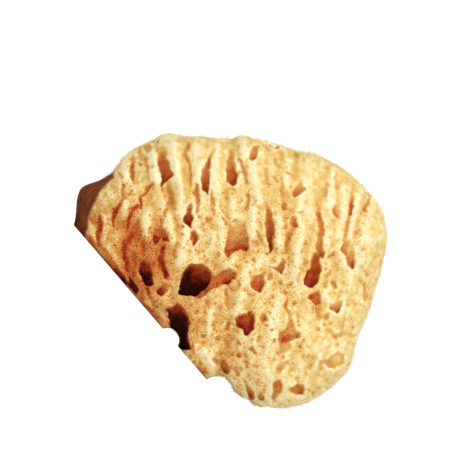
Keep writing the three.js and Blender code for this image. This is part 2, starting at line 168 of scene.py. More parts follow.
STROKES = (
    # Below the top edge.
    (((-21, 42.5, 0.8), (-22.5, 37, 1), (-20.5, 32, 0.8), (-20, 27, 0.5), (-20.5, 21.5, 0.4)), 2.2),
    (((-10, 20, 0.6), (-10, 17, 0.6), (-9, 11.5, 0.8)), 2.2),
    (((4, 35, 0.5), (6, 29, 0.8), (8, 23, 0.8)), 2.4), (((17.5, 41.5, 1.5), (19, 40.5, 1.5)), 1.2),
    (((25, 38.5, 2), (25.5, 35, 1.5)), 1.3), (((33, 37.5, 2), (34.5, 36, 1.5)), 1.3),
    (((38.5, 37, 1.8),), 1), (((17.5, 29.5, 1), (18.5, 22, 1)), 1.6),
    (((22, 34.5, 0.4), (24, 31, 0.4)), 1.6), (((21.5, 26, 0.4), (23, 24, 0.4)), 1.6),
    (((53, 26.5, 1), (52.5, 21, 1.5)), 1.9), (((44, 33.5, 0.8), (44, 27, 0.8)), 1.2),
    (((47.5, 22.5, 1), (47, 17, 1)), 1.4), (((58.5, 7, 0.6), (57.5, 1, 0.7), (56, -5.5, 0.8)), 3.2),
    (((69.5, 16.5, 0.5), (67, 10, 1.5)), 3.6), (((74, 2, 1), (74, -2, 1)), 1.4),
    (((62, -1.5, 1), (64, -0.5, 0.8)), 1.8), (((61, 1.5, 1),), 1.6), (((65.5, 2.5, 0.8),), 1.4),
    (((64.5, -10.5, 0.7), (66, -10.5, 0.7)), 1.5), (((0, 20, 0.6), (1.5, 19.5, 0.5)), 2),
    (((0.5, 17.5, 0.6),), 1.8), (((2.5, 18, 0.5),), 1.6), (((-1, 20, 0.5),), 1.6),
    (((-26, 44, 1),), 1.2), (((-27, 39, 0.5), (-26.5, 34.5, 0.5)), 1.4),
    (((-42, 35, 1.2), (-41.5, 29, 1)), 1.4), (((-30.5, 43.5, 1.2),), 1),
    (((3.5, 41.5, 0.8), (3.5, 39.5, 0.5)), 1.2),
    # The left shoulder.
    (((-55, 27.5, 0.5), (-54, 25, 0.5)), 2),
    (((-53.5, 21.5, 0.6), (-54, 16.5, 0.6), (-52.5, 15.5, 0.6)), 2.8),
    (((-52, 17, 0.4), (-48.5, 17, 0.3), (-44.5, 17.5, 0.4)), 1.6), (((-49.5, 18.5, 0.7),), 2.2),
    (((-53, 15.5, 0.5), (-54.5, 12, 0.8), (-57, 9.5, 1), (-58, 5.5, 1), (-57.5, 1, 0.4)), 4.2),
    (((-50.5, 9.5, 0.6), (-48.5, 10.5, 0.6)), 2.5),
    (((-46.5, 11.5, 0.8), (-48.5, 9, 1.1), (-49.5, 6.5, 1), (-50.5, 4.5, 0.7), (-51, 0.5, 0.6)), 4.5),
    (((-65, 7, 0.5), (-64.5, 2, 1.2), (-65.5, -3, 1.2), (-66, -7.5, 0.8)), 3.8),
    (((-37.5, -3, 0.8),), 7), (((-33.5, -4.5, 0.8),), 7),
    (((-49, -3.5, 1.5), (-52, -7, 1.5), (-53, -11, 1.2), (-52, -16, 1.2), (-51.5, -20, 1)), 4.6),
    (((-47.5, 2, 1), (-46.5, -5, 1.5)), 3.4), (((-43.5, -6.5, 1.2), (-44, -12.5, 1.5)), 3.2),
    (((-48.5, -11.5, 1), (-47, -16, 1)), 2.8), (((-45.5, 4, 0.6), (-46, 0, 0.8)), 3),
    (((-33.5, -9, 1), (-35, -14, 1.6), (-33.5, -19, 1.5), (-32, -23.5, 1.2)), 4.8),
    (((-38.5, -16, 0.8), (-39, -21, 0.8)), 2.5), (((-48, -20, 0.5), (-48, -23, 0.5)), 2.5),
    (((-41.5, -29, 0.9), (-40.5, -31.5, 0.9)), 4.5), (((-40, -33, 0.6), (-37, -38, 0.8)), 2.8),
    (((-44, -31, 0.8), (-43.5, -35, 0.9)), 3.2), (((-61.5, -4.5, 0.7),), 1.8),
    (((-62, -6, 0.6),), 1.6), (((-28.5, -11, 0.7), (-28, -14, 0.7)), 2.2),
    (((-69, 5.5, 0.5), (-68, 3.5, 0.6)), 2.2), (((-32, 10, 0.8), (-32.5, 6.5, 0.8)), 2),
    (((-39.5, 0.5, 0.6),), 1.8), (((-61, -11, 0.5), (-60, -12.5, 0.5)), 1.8),
    (((-63, -10, 1), (-60, -16, 1.2)), 2.4),
    # The middle.
    (((-17, 21.5, 0.8), (-16.5, 15, 1.1), (-17, 8.5, 0.6)), 3.4),
    (((-29.5, 19, 0.8), (-29, 13, 1.2)), 1.8), (((-11.5, 4.5, 1.8),), 2.4),
    (((-10, 11, 0.8), (-9, 7, 0.8)), 1.4), (((-4, 5.5, 0.4), (-2.5, 2.5, 0.5)), 2.6),
    (((2, 4.5, 1),), 3.2), (((8, 16.5, 0.8), (8.5, 15, 0.6), (7, 10.5, 0.9)), 2.5),
    (((1.5, 0.5, 0.5),), 2.2), (((25.5, 23.5, 0.6), (25.5, 17.5, 1), (26, 13.5, 1.2)), 1.8),
    (((26.5, 11.5, 1.4),), 4.6), (((30.5, 0.5, 1), (28.5, -3, 1.5), (27.5, -7, 1)), 3.4),
    (((27, 3, 0.5), (26.5, 0.5, 0.5)), 1.6), (((34.5, 8.5, 0.9),), 2.2),
    (((43.5, 7.5, 1), (44, 4, 1.2), (45, 0, 1.4), (44, -4, 1.5), (43.5, -8, 1.6)), 4.8),
    (((44, 12, 0.5), (43.5, 9.5, 0.6)), 1.6),
    (((12.5, -1, 0.4), (14.5, -5.5, 0.8), (16.5, -8.5, 0.5)), 2.2),
    (((19.5, -22.5, 0.6), (19, -24.5, 0.7)), 3), (((42.5, -37, 0.9), (42, -40.5, 0.6)), 3.4),
    (((40, -38, 0.4), (40, -39.5, 0.4)), 2), (((51, -11.5, 0.6), (49, -13.5, 0.8)), 2.8),
    (((49, -21, 0.8), (47, -23.5, 0.8)), 2.4), (((50.5, -26, 0.8), (51.5, -29, 1)), 3.2),
    (((47, -28.5, 1),), 2.2), (((52, -16.5, 0.5),), 1.6), (((47.5, -43, 1.5),), 2.8),
    (((46.5, -47, 0.5),), 2.4), (((43.5, -38, 1.2), (43.5, -44, 1.5)), 1.9), (((26, -31.5, 1.2),), 2),
    (((31.5, -36.5, 1.5),), 2.4), (((24.5, -26.5, 1.2),), 2), (((4, -27.5, 1.1),), 2.2),
    (((-2.5, -30.5, 0.7), (-2, -36, 1)), 3), (((-12, -35.5, 0.7), (-12, -37, 0.6)), 2.4),
    (((13, -11.5, 0.6),), 3), (((-18, -10.5, 0.5),), 2.4), (((-16.5, -12, 0.5),), 1.8),
    (((11, -32, 0.6),), 1.8), (((11, -35, 0.6),), 1.8), (((20.5, -33.5, 0.7),), 2),
    (((50, -7.5, 0.9),), 1.8), (((48.5, -4, 0.7),), 1.8), (((7.5, -38, 0.5), (9.5, -40, 0.5)), 1.8),
    (((65, -18.5, 1), (67.5, -22, 1.5)), 1.8), (((66.5, -27, 1.1), (67, -34.5, 1.1)), 1.9),
    (((64.5, -37.5, 0.8),), 1.6), (((61, -35, 0.8), (62, -37.5, 0.6)), 1.2),
    (((55.5, -26.5, 1.5), (57.5, -27.5, 1)), 1), (((-26, 1, 0.6),), 1.6), (((-7.5, -33.5, 0.5),), 1.6),
    (((0.5, -30, 0.8),), 1.6), (((35, -11, 0.5),), 1.6), (((34, -19, 0.5), (35, -20, 0.5)), 1.6),
    (((37, -16, 1.5),), 1.6), (((-17.5, -36.5, 0.5), (-20, -37.5, 0.5)), 1.5),
    (((-16.5, -30.5, 0.8), (-13.5, -28.5, 0.8)), 6.5),
    # The lower lobe.
    (((-17, -41, 1.2),), 3.2), (((-13.5, -52.5, 0.8),), 3.4), (((-14, -55.5, 0.8),), 2.6),
    (((-8.5, -47.5, 0.8),), 2.2), (((-1.5, -46.5, 0.9), (-2, -49, 1)), 3.6),
    (((-6.5, -54, 1.2),), 3.2), (((-3, -44, 0.6),), 2), (((4, -62, 1.2),), 4.4),
    (((7.5, -62, 1.2),), 1.8), (((10.5, -59.5, 0.8), (12.5, -61.5, 0.5)), 4),
    (((13, -55.5, 0.8), (14, -54.5, 0.5)), 2.6), (((15.5, -58.5, 0.8),), 2),
    (((-8, -64, 0.9), (-6.5, -66, 1)), 3.4), (((12, -67.5, 1.1),), 2.6),
    (((7.5, -65.5, 0.8), (8, -68, 0.8)), 2), (((-4, -61, 0.9),), 2.8),
    (((2.5, -69, 0.6), (3.5, -72, 0.6)), 2.8), (((8.5, -72.5, 0.7),), 2),
    (((27.5, -35, 0.5), (26.5, -39, 0.6), (29, -42.5, 0.7)), 2.4), (((25.5, -63.5, 0.7),), 2.2),
    (((47.5, -66, 1),), 4), (((56.5, -43.5, 0.8), (55.5, -51.5, 1.5)), 1.6),
    (((55.5, -51.5, 1.5), (52, -53.5, 1.5), (49, -50.5, 1.5)), 1.8), (((50.5, -57.5, 2),), 1.3),
    (((45, -66, 0.5), (43.5, -69.5, 0.6)), 1.8), (((38.5, -58.5, 1.5),), 1.3),
    (((38.5, -62.5, 0.9),), 1.2), (((39.5, -67.5, 0.9),), 1.4), (((37.5, -72, 0.8),), 1.2),
    (((36, -55, 0.7), (35, -56, 0.5)), 2.6), (((34, -58, 0.7),), 2.6), (((39.5, -48.5, 0.5),), 1.6),
    (((33.5, -47.5, 0.6),), 1.8), (((33, -42.5, 1.2),), 1.6), (((-20, -62.5, 0.9),), 3.4),
    (((-18.5, -65, 1.1),), 3.4), (((-15.5, -66, 1),), 3.2), (((-13.5, -69.5, 1.3),), 3.4),
    (((-31, -43.5, 0.6),), 3), (((-16.5, -47.5, 0.8),), 1.6), (((3, -51, 0.6),), 2),
    (((0, -54, 0.8),), 2), (((-5.5, -39, 1),), 2), (((3.5, -56, 1.2),), 1.4), (((26.5, -57.5, 3),), 2),
    (((24, -69, 2), (27, -66, 1.5)), 1.6), (((13.5, -77, 1),), 2), (((16.5, -79.5, 0.6),), 2),
    (((36, -63, 0.5),), 1.4), (((-2.5, -55, 0.5), (-1, -58.5, 0.5)), 2), (((-5, -51, 0.6),), 1.8),
    (((2, -74, 0.6),), 1.6), (((9.5, -74.5, 0.6),), 1.6), (((50, -46, 1),), 1.6),
    (((30, -69.5, 1.2),), 1.3), (((21.5, -64.5, 0.8),), 1.2), (((-8.5, -42, 0.8),), 2),
    (((-16, -49.5, 0.6),), 1.6),
)

RIDGES = (
    (((-52.5, 36, 2.5), (-53, 27.5, 2.5)), 1.2), (((-45, 32.5, 1.5), (-44, 23, 2)), 1),
    (((-38, 36.5, 1.8), (-38, 26, 2)), 1.4),
    (((-28, 41, 1.5), (-27, 30, 2.2), (-25, 17.5, 2), (-27, 8, 2)), 1.3),
    (((-17, 44, 2.5), (-17.5, 32.5, 2.8), (-16.5, 24, 2)), 1.5),
    (((-6, 44, 2.5), (-6.5, 32.5, 3), (-7.5, 19, 2.5)), 1.5), (((6.5, 44.5, 2.5), (7.5, 37, 2)), 1.2),
    (((10, 32, 1.8), (12.5, 22.5, 2), (13, 15, 2)), 1.4), (((29, 33.5, 1.5), (27.5, 22.5, 1.8)), 1),
    (((51.5, 30, 1.5), (50.5, 20, 1.5), (48.5, 12.5, 1.5)), 1),
    (((57, 21, 1.5), (56.5, 9, 1.8), (53.5, -2, 1.8)), 1.2),
    (((39.5, 8, 2), (36.5, 0, 2.2), (33, -10, 2), (32, -20, 1.5)), 1.4),
    (((23.5, 4, 1.5), (23.5, -8, 1.5)), 1.2), (((10.5, 9, 1.5), (10.5, -3, 1.5)), 1.1),
    (((-9, -3, 2.5), (-10.5, -10, 2)), 1.2), (((-5, 3, 1.5), (-4.5, -7, 1.5)), 1.1),
    (((-52.5, 13, 1.5), (-53, 7, 1.5)), 1.2),
    (((-63.5, 6, 1.2), (-62.5, -5, 1.5), (-60, -13, 1.5), (-56, -18, 1.5)), 1.4),
    (((-62.5, -10.5, 0.8), (-58.5, -17, 0.8), (-55.5, -19.5, 0.8)), 1.3),
    (((-69, 2, 1), (-67.5, -6, 1.2)), 1), (((-41, 9, 1.5), (-41.5, -3, 1.8)), 1.3),
    (((-30, 6, 1.5), (-28.5, -6, 2)), 1.3),
    (((-23.5, -3, 1.5), (-25, -10, 1.8), (-26, -16.5, 1.8)), 1.1),
    (((1.5, -14.5, 2), (-1, -18, 1.5)), 1.5), (((8, -18.5, 2), (7, -26.5, 2)), 1.3),
    (((-25.5, -27.5, 1.2), (-27, -31, 1.2)), 1), (((5, -33.5, 2), (3, -41, 1.5)), 1.5),
    (((23.5, -34, 1.8), (20.5, -45, 2), (18.5, -57.5, 2.2)), 1.5),
    (((47.5, -31, 2), (46.5, -34, 1.5)), 1), (((-12.5, -60.5, 2), (-10.5, -67, 2)), 1.2),
    (((-17, -58, 1), (-13.5, -64.5, 1.2)), 1), (((45, -62, 1.2), (42, -68.5, 1.2)), 1),
    (((-45.5, -16, 0.8), (-45.5, -24, 0.8)), 1), (((-54, -21, 0.8), (-50, -26.5, 0.8)), 0.8),
    (((-10.5, -41, 1.5), (-11.5, -50, 1.5)), 1), (((60, -21, 2), (58, -30, 2)), 0.8),
    (((63.5, 7.5, 2), (68, -5, 2.5)), 0.8), (((-34, -45, 1.5),), 0.8), (((14.5, -16, 2.5),), 1),
    (((41, -60, 2.5), (46, -57.5, 2)), 0.6), (((35, -67.5, 2.5),), 0.6),
    (((16, -68, 2), (18, -73, 2)), 0.8),
)
FACE_CELL = 0.3  # step of the map, in mm
FACE_MARGIN = 12.0  # how far it runs past the grid
FACE_FADE = (1.0, 10.0)  # the map works from this much in front of the rim, and in full from here
MOUTH_WALL = 1.5  # how wide the wall of a pit is
MOUTH_FALL = 0.8  # the floor of a pit is at full depth from this share of the way down
# The colour of pits and grooves darkens with their depth: painted shade, partly the darker colour of
# the sponge's inside.
MOUTH_EDGE = (0.8, 3.8)  # over how many mm the colour of a pit comes in: clean and soft pits
MOUTH_TONE = 1.3  # the colour's depth for each mm of the table's depth
MOUTH_SPREAD = 0.35  # how far outside its outline a pit starts
STROKE_SHARE = 0.28  # how deep a stroke is made for each mm of the table's depth
STROKE_TONE = 1.6
STROKE_SOFTNESS = 0.65  # how far outside its points a stroke starts
# Halos are painted shade that spreads round pits and grooves.
HALO_REACH = 3.0  # how far round a pit or groove its colour fades out
HALO_SHARE = 0.3
RIDGE_SHARE = 1.5  # how high a ridge is made for each mm of the table's height
LIP_HEIGHT = 0.2  # the raised rims of pits
LIP_WIDTH = 1.3
PIT_LEAN = (0.12, 0.35)  # how far pits run left and down for each mm that they run in
SPECKS = 520  # how many small pores and short cracks are tried on the face
MAP_REACH = (8.0, 9.0)  # how far round its points a pit or groove, and a ridge, works on the map
HOLE_DEPTH = 12.0  # mouths deeper than this are dark holes with crisp edges
HOLE_MOST = 13.6  # the deepest that a hole is made
# Painted shade of the deepest pits and holes is near black.
DARKEST = 16.0  # the depth, in mm, at which a pit is near black

# Noise in the face map: sizes of its lumps in mm, seed and share.
BENDS = (((8, 8), 0, 0.25), ((2.6, 2.6), 1, 0.3), ((1.2, 1.2), 2, 0.35))  # seeds from the first one
PLEATS = (((5.2, 26.0), 71, 1.7), ((2.6, 15.0), 72, 0.4))
CRUMBS = (((3.6, 4.2), 81, 0.4), ((1.7, 1.9), 82, 0.3))
CLOUDS = (((2.4, 3.0), 93, 0.34), ((1.1, 1.1), 94, 0.2))
CREASE = 0.03  # how round the creases between pleats are
FACET_DEPTH = 0.8  # how deep the brown patch lies

# Fibres for each square metre of ridge, and their length and radius in metres.
FIBRES = {"Density": 190000.0, "Length": 1.15 * MM, "Radius": 0.085 * MM}
FIBRE_BEND = {"Start": (0, 0, -0.3), "Middle": (0.1, 0, 0.6), "End": (1.0, 0.1, 0.45)}  # in lengths
FIBRE_SIZES = ((0.6, 0.6, 0.6), (1.4, 1.4, 1.4))
FIBRE_TURNS = ((-0.5, -0.5, 0), (0.5, 0.5, 6.283))

# Broad places of painted shade on the face, and of painted light where the depth is negative: u, v,
# radius, and the depth in mm that the colour stands for.
BROAD_LIGHT_AND_SHADE = (
    (-46, -14, 20, 2.4), (-52, -2, 36, 1.6), (-20, -42, 16, 1.6), (-8, -62, 14, 1.0),
    (0, -30, 26, 0.5), (-70, 10, 14, 1.0), (70, 0, 36, -2.6), (56, -52, 28, -1.6), (20, -84, 18, -1.6),
    (42, 36, 28, -1.6), (26, -2, 22, 0.6),
)

# Pleats that run together towards a point below the sponge.
FAN_MIDDLE = 10.0  # the u of that point, its v, and how far over it the pleats have their full width
FAN_FOOT = -185.0
FAN_LENGTH = 220.0
FAN_ENDS = (-290.0, 260.0)

# The smooth patch at the left end, which faces away from the light, painted dark brown as painted
# shade.
FACET = [
    (-57, 32), (-57.5, 28), (-58.5, 25.5), (-61.5, 22.5), (-64, 19.5), (-66, 16.5), (-67.5, 13.5),
    (-69, 9.5), (-70, 6), (-71, 3), (-71.5, 0), (-72.5, -4), (-78, -6), (-90, 0), (-90, 30), (-66, 40),
]
PATCH_HEIGHT = 36.0  # how high the patch reaches over the cut
PATCH_BACK = 24.0  # how far it reaches behind the rim
PATCH_BEND = 4.0  # how far its edge wanders there
EDGE_BAND = 2.0  # how wide the edge of the cut is worn off along the face
# Painted shade along the worn edge of the cut, as a depth of colour.
EDGE_SHADE_TONE = 6.5  # the depth that the colour of the worn edge stands for
NOTCH_MIDDLE = (-6.5, -81.0)
NOTCH_RADIUS = 8.5

# The larger pits of the sides, top and back, set out by a spiral over the form.
OTHER_PITS = 70
FACE_SHARE = 0.3  # the spiral starts this far in front of the rim, as a share of the way
RIM_BAND = 0.12  # its pits are made from this far behind the rim
PIT_BLEND = 0.8  # how round the edge of a pit and of a pore is, in mm
PORE_BLEND = 0.4
OTHER_PIT_LENGTH = (7.0, 15.0)
OTHER_PIT_NARROWING = (0.45, 0.9)
OTHER_PIT_DEPTH = (0.5, 0.95)
SPIRAL_SEED = 41
SMALL_PORES = 1700
SMALL_PORE_MIDDLE = 2.1  # the middle width, in mm, and how widely widths spread
SMALL_PORE_SPREAD = 0.42
SMALL_PORE_WIDTHS = (1.1, 5.5)
# Away from the face, the colour darkens with depth as painted shade.
SIDE_TONE = 1.1  # the colour's depth for each mm of real depth, away from the face
SIDE_PALE = 0.8  # how deep it starts
# How far behind the rim the broad painted light and shade of the face fade out.
SIDE_SHADE_REACH = 24.0  # how far behind the rim the stains of the face fade out

# Channels that the cut laid open: x and y from the middle of the sponge, length, width, depth.
CUT_PITS = (
    (-52, 6, 9, 7, 7), (-44, -13, 7, 5, 5), (-33, 18, 8, 6, 6), (-30, -2, 11, 8, 9),
    (-12, 22, 7, 5, 5), (-10, -14, 9, 6, 7), (22, 14, 8, 6, 6), (23, -9, 7, 6, 5),
    (6, 0, 130, 13, 4.8),
)


def grid_axis(side):
    return np.arange(GRID_LOW[side], GRID_HIGH[side], CELL, dtype=np.float32)


AXES = tuple(grid_axis(side) for side in range(3))


def grid_places():
    """The u, v and w of every grid point, as arrays that broadcast together."""
    return AXES[0][:, None, None], AXES[1][None, :, None], AXES[2][None, None, :]


def spline_weights(places, low, spacing, count):
    """Cubic B-spline weights that carry a lattice of count values to places along one axis."""
    at = (np.asarray(places, dtype=np.float64) - low) / spacing + 1.0
    cell = np.floor(at).astype(int)
    s = at - cell
    parts = ((1 - s) ** 3, 3 * s**3 - 6 * s**2 + 4, -3 * s**3 + 3 * s**2 + 3 * s + 1, s**3)
    weights = np.zeros((len(at), count), dtype=np.float32)
    for step, part in enumerate(parts):
        weights[np.arange(len(at)), cell - 1 + step] = part / 6
    return weights


def lattice_count(low, high, spacing):
    return int(math.ceil((high - low) / spacing)) + 4


def soft_noise(spacing, seed):
    """Smooth noise, about -1 to 1, with lumps of these sizes in mm along u, v and w."""
    counts = [lattice_count(GRID_LOW[i], GRID_HIGH[i], spacing[i]) for i in range(3)]
    lattice = np.random.default_rng(seed).uniform(-2, 2, counts).astype(np.float32)
    along_u, along_v, along_w = (
        spline_weights(AXES[i], GRID_LOW[i], spacing[i], counts[i]) for i in range(3)
    )
    noise = np.tensordot(along_u, lattice, axes=(1, 0))
    return np.matmul(along_v, noise) @ along_w.T


def flat_noise(u, v, spacing, seed):
    """Smooth noise, about -1 to 1, over a sheet."""
    count_u = lattice_count(u[0], u[-1], spacing[0])
    count_v = lattice_count(v[0], v[-1], spacing[1])
    lattice = np.random.default_rng(seed).uniform(-2, 2, (count_u, count_v))
    along_u = spline_weights(u, u[0], spacing[0], count_u)
    return along_u @ lattice @ spline_weights(v, v[0], spacing[1], count_v).T


def fan_noise(u, v, spacing, seed):
    """Smooth noise over a sheet, in streaks that run together towards the foot of the fan."""
    count_u = lattice_count(*FAN_ENDS, spacing[0])
    count_v = lattice_count(v[0], v[-1], spacing[1])
    lattice = np.random.default_rng(seed).uniform(-2, 2, (count_u, count_v))
    columns = lattice @ spline_weights(v, v[0], spacing[1], count_v).T
    noise = np.empty((len(u), len(v)))
    for row, height in enumerate(v):
        spread = FAN_MIDDLE + (u - FAN_MIDDLE) * FAN_LENGTH / (height - FAN_FOOT)
        noise[:, row] = spline_weights(spread, FAN_ENDS[0], spacing[0], count_u) @ columns[:, row]
    return noise


def rim_by_angle():
    """The rim as distances from the heart, by angle, on a smooth curve through its points."""
    points = np.array(RIM, dtype=np.float64)
    before, after = np.roll(points, 1, axis=0), np.roll(points, -1, axis=0)
    beyond = np.roll(points, -2, axis=0)
    slope, next_slope = (after - before) / 2, (beyond - points) / 2
    curve = []
    for t in np.arange(0, 1, 1 / 8):
        curve.append(
            points * (2 * t**3 - 3 * t**2 + 1)
            + slope * (t**3 - 2 * t**2 + t)
            + after * (3 * t**2 - 2 * t**3)
            + next_slope * (t**3 - t**2)
        )
    u, v = (np.concatenate(curve) - HEART).T
    angle = np.arctan2(v, u)
    order = np.argsort(angle)
    return angle[order], np.hypot(u, v)[order]


RIM_ANGLES, RIM_REACHES = rim_by_angle()


def lumps(x, y, z):
    """Broad lumps and hollows for a direction, none at the rim."""
    height = 0
    for share, along, shift, across, cross_shift in LUMP_WAVES:
        ripple = np.sin(along[0] * x + along[1] * y + along[2] * z + shift)
        cross_ripple = np.sin(across[0] * x + across[1] * y + across[2] * z + cross_shift)
        height = height + share * ripple * cross_ripple
    return LUMP_HEIGHT * height * np.minimum(1, 2 * np.abs(z))


def share_of_reach(u, v, w):
    """How far out a point lies from the heart, as a share of the way to the surface."""
    x, y = u - HEART[0], v - HEART[1]
    across = np.hypot(x, y)
    rim = np.interp(np.arctan2(y, x), RIM_ANGLES, RIM_REACHES, period=2 * math.pi)
    rim = rim.astype(np.float32)
    bulge = np.where(w > 0, FACE_BULGE, BACK_BULGE).astype(np.float32)
    power = (across / rim) ** FULLNESS + (np.abs(w) / bulge) ** FULLNESS
    distance = np.sqrt(across**2 + w**2) + 1e-6
    swell = 1 + lumps(x / distance, y / distance, w / distance)
    return power ** (1 / FULLNESS) / swell


def surface_point(direction):
    heart = np.array((*HEART, 0.0))
    return heart + direction / share_of_reach(*(heart + direction))


def outward_normal(point):
    """The outward normal of the smooth form at a point on it."""
    step = 0.5
    shifts = np.eye(3) * step
    slopes = [share_of_reach(*(point + s)) - share_of_reach(*(point - s)) for s in shifts]
    return np.array(slopes) / np.linalg.norm(slopes)


def body_field():
    """Depth below the smooth form, in mm, on the grid."""
    share = share_of_reach(*grid_places())
    slope = np.sqrt(sum(part**2 for part in np.gradient(share, CELL)))
    return ((1 - share) / np.maximum(slope, 0.004)).astype(np.float32)


def stood_up(u, v):
    """How far across and how far up the face view's u and v lead once the cut lies flat."""
    sine, cosine = math.sin(CUT_LEAN), math.cos(CUT_LEAN)
    return u * cosine - v * sine, u * sine + v * cosine


def height_over_cut(u, v):
    return stood_up(u, v)[1] + CUT_DROP


def outline_distance(u, v, outline):
    """Distance to a closed outline, negative inside it."""
    nearest = np.full(np.broadcast_shapes(u.shape, v.shape), 1e6)
    inside = np.zeros(nearest.shape, dtype=bool)
    for (from_u, from_v), (to_u, to_v) in zip(outline, outline[1:] + outline[:1]):
        along_u, along_v = to_u - from_u, to_v - from_v
        share = ((u - from_u) * along_u + (v - from_v) * along_v) / (along_u**2 + along_v**2)
        share = np.clip(share, 0, 1)
        gap = np.hypot(u - from_u - share * along_u, v - from_v - share * along_v)
        nearest = np.minimum(nearest, gap)
        if along_v:
            beside = (from_v > v) != (to_v > v)
            inside ^= beside & (u < from_u + (v - from_v) * along_u / along_v)
    return np.where(inside, -nearest, nearest)


def stroke_distance(u, v, stroke):
    """Distance to a stroke of round blobs, negative inside it."""
    nearest = np.full(np.broadcast_shapes(u.shape, v.shape), 1e6)
    for start, end in zip(stroke, stroke[1:] or stroke):
        along_u, along_v = end[0] - start[0], end[1] - start[1]
        length = along_u**2 + along_v**2 + 1e-9
        share = np.clip(((u - start[0]) * along_u + (v - start[1]) * along_v) / length, 0, 1)
        gap = np.hypot(u - start[0] - share * along_u, v - start[1] - share * along_v)
        nearest = np.minimum(nearest, gap - start[2] - share * (end[2] - start[2]))
    return nearest


def eased(share):
    """0 to 1 with a soft start and end."""
    share = np.clip(share, 0, 1)
    return share * share * (3 - 2 * share)


def pressed(outline, depth):
    """How deep a pit is made, in mm: narrow ones look deeper than they are."""
    doubled = sum(a[0] * b[1] - b[0] * a[1] for a, b in zip(outline, outline[1:] + outline[:1]))
    breadth = math.sqrt(abs(doubled) / 2)
    if depth > HOLE_DEPTH:
        return min(0.8 * depth, HOLE_MOST)
    return min(0.5 * depth, 0.55 * breadth)


def broad_light_and_shade(u, v):
    """The depth that the broad places of painted shade and painted light stand for."""
    return sum(
        depth * np.exp(-((u - at_u) ** 2 + (v - at_v) ** 2) / (0.5 * radius**2))
        for at_u, at_v, radius, depth in BROAD_LIGHT_AND_SHADE
    )


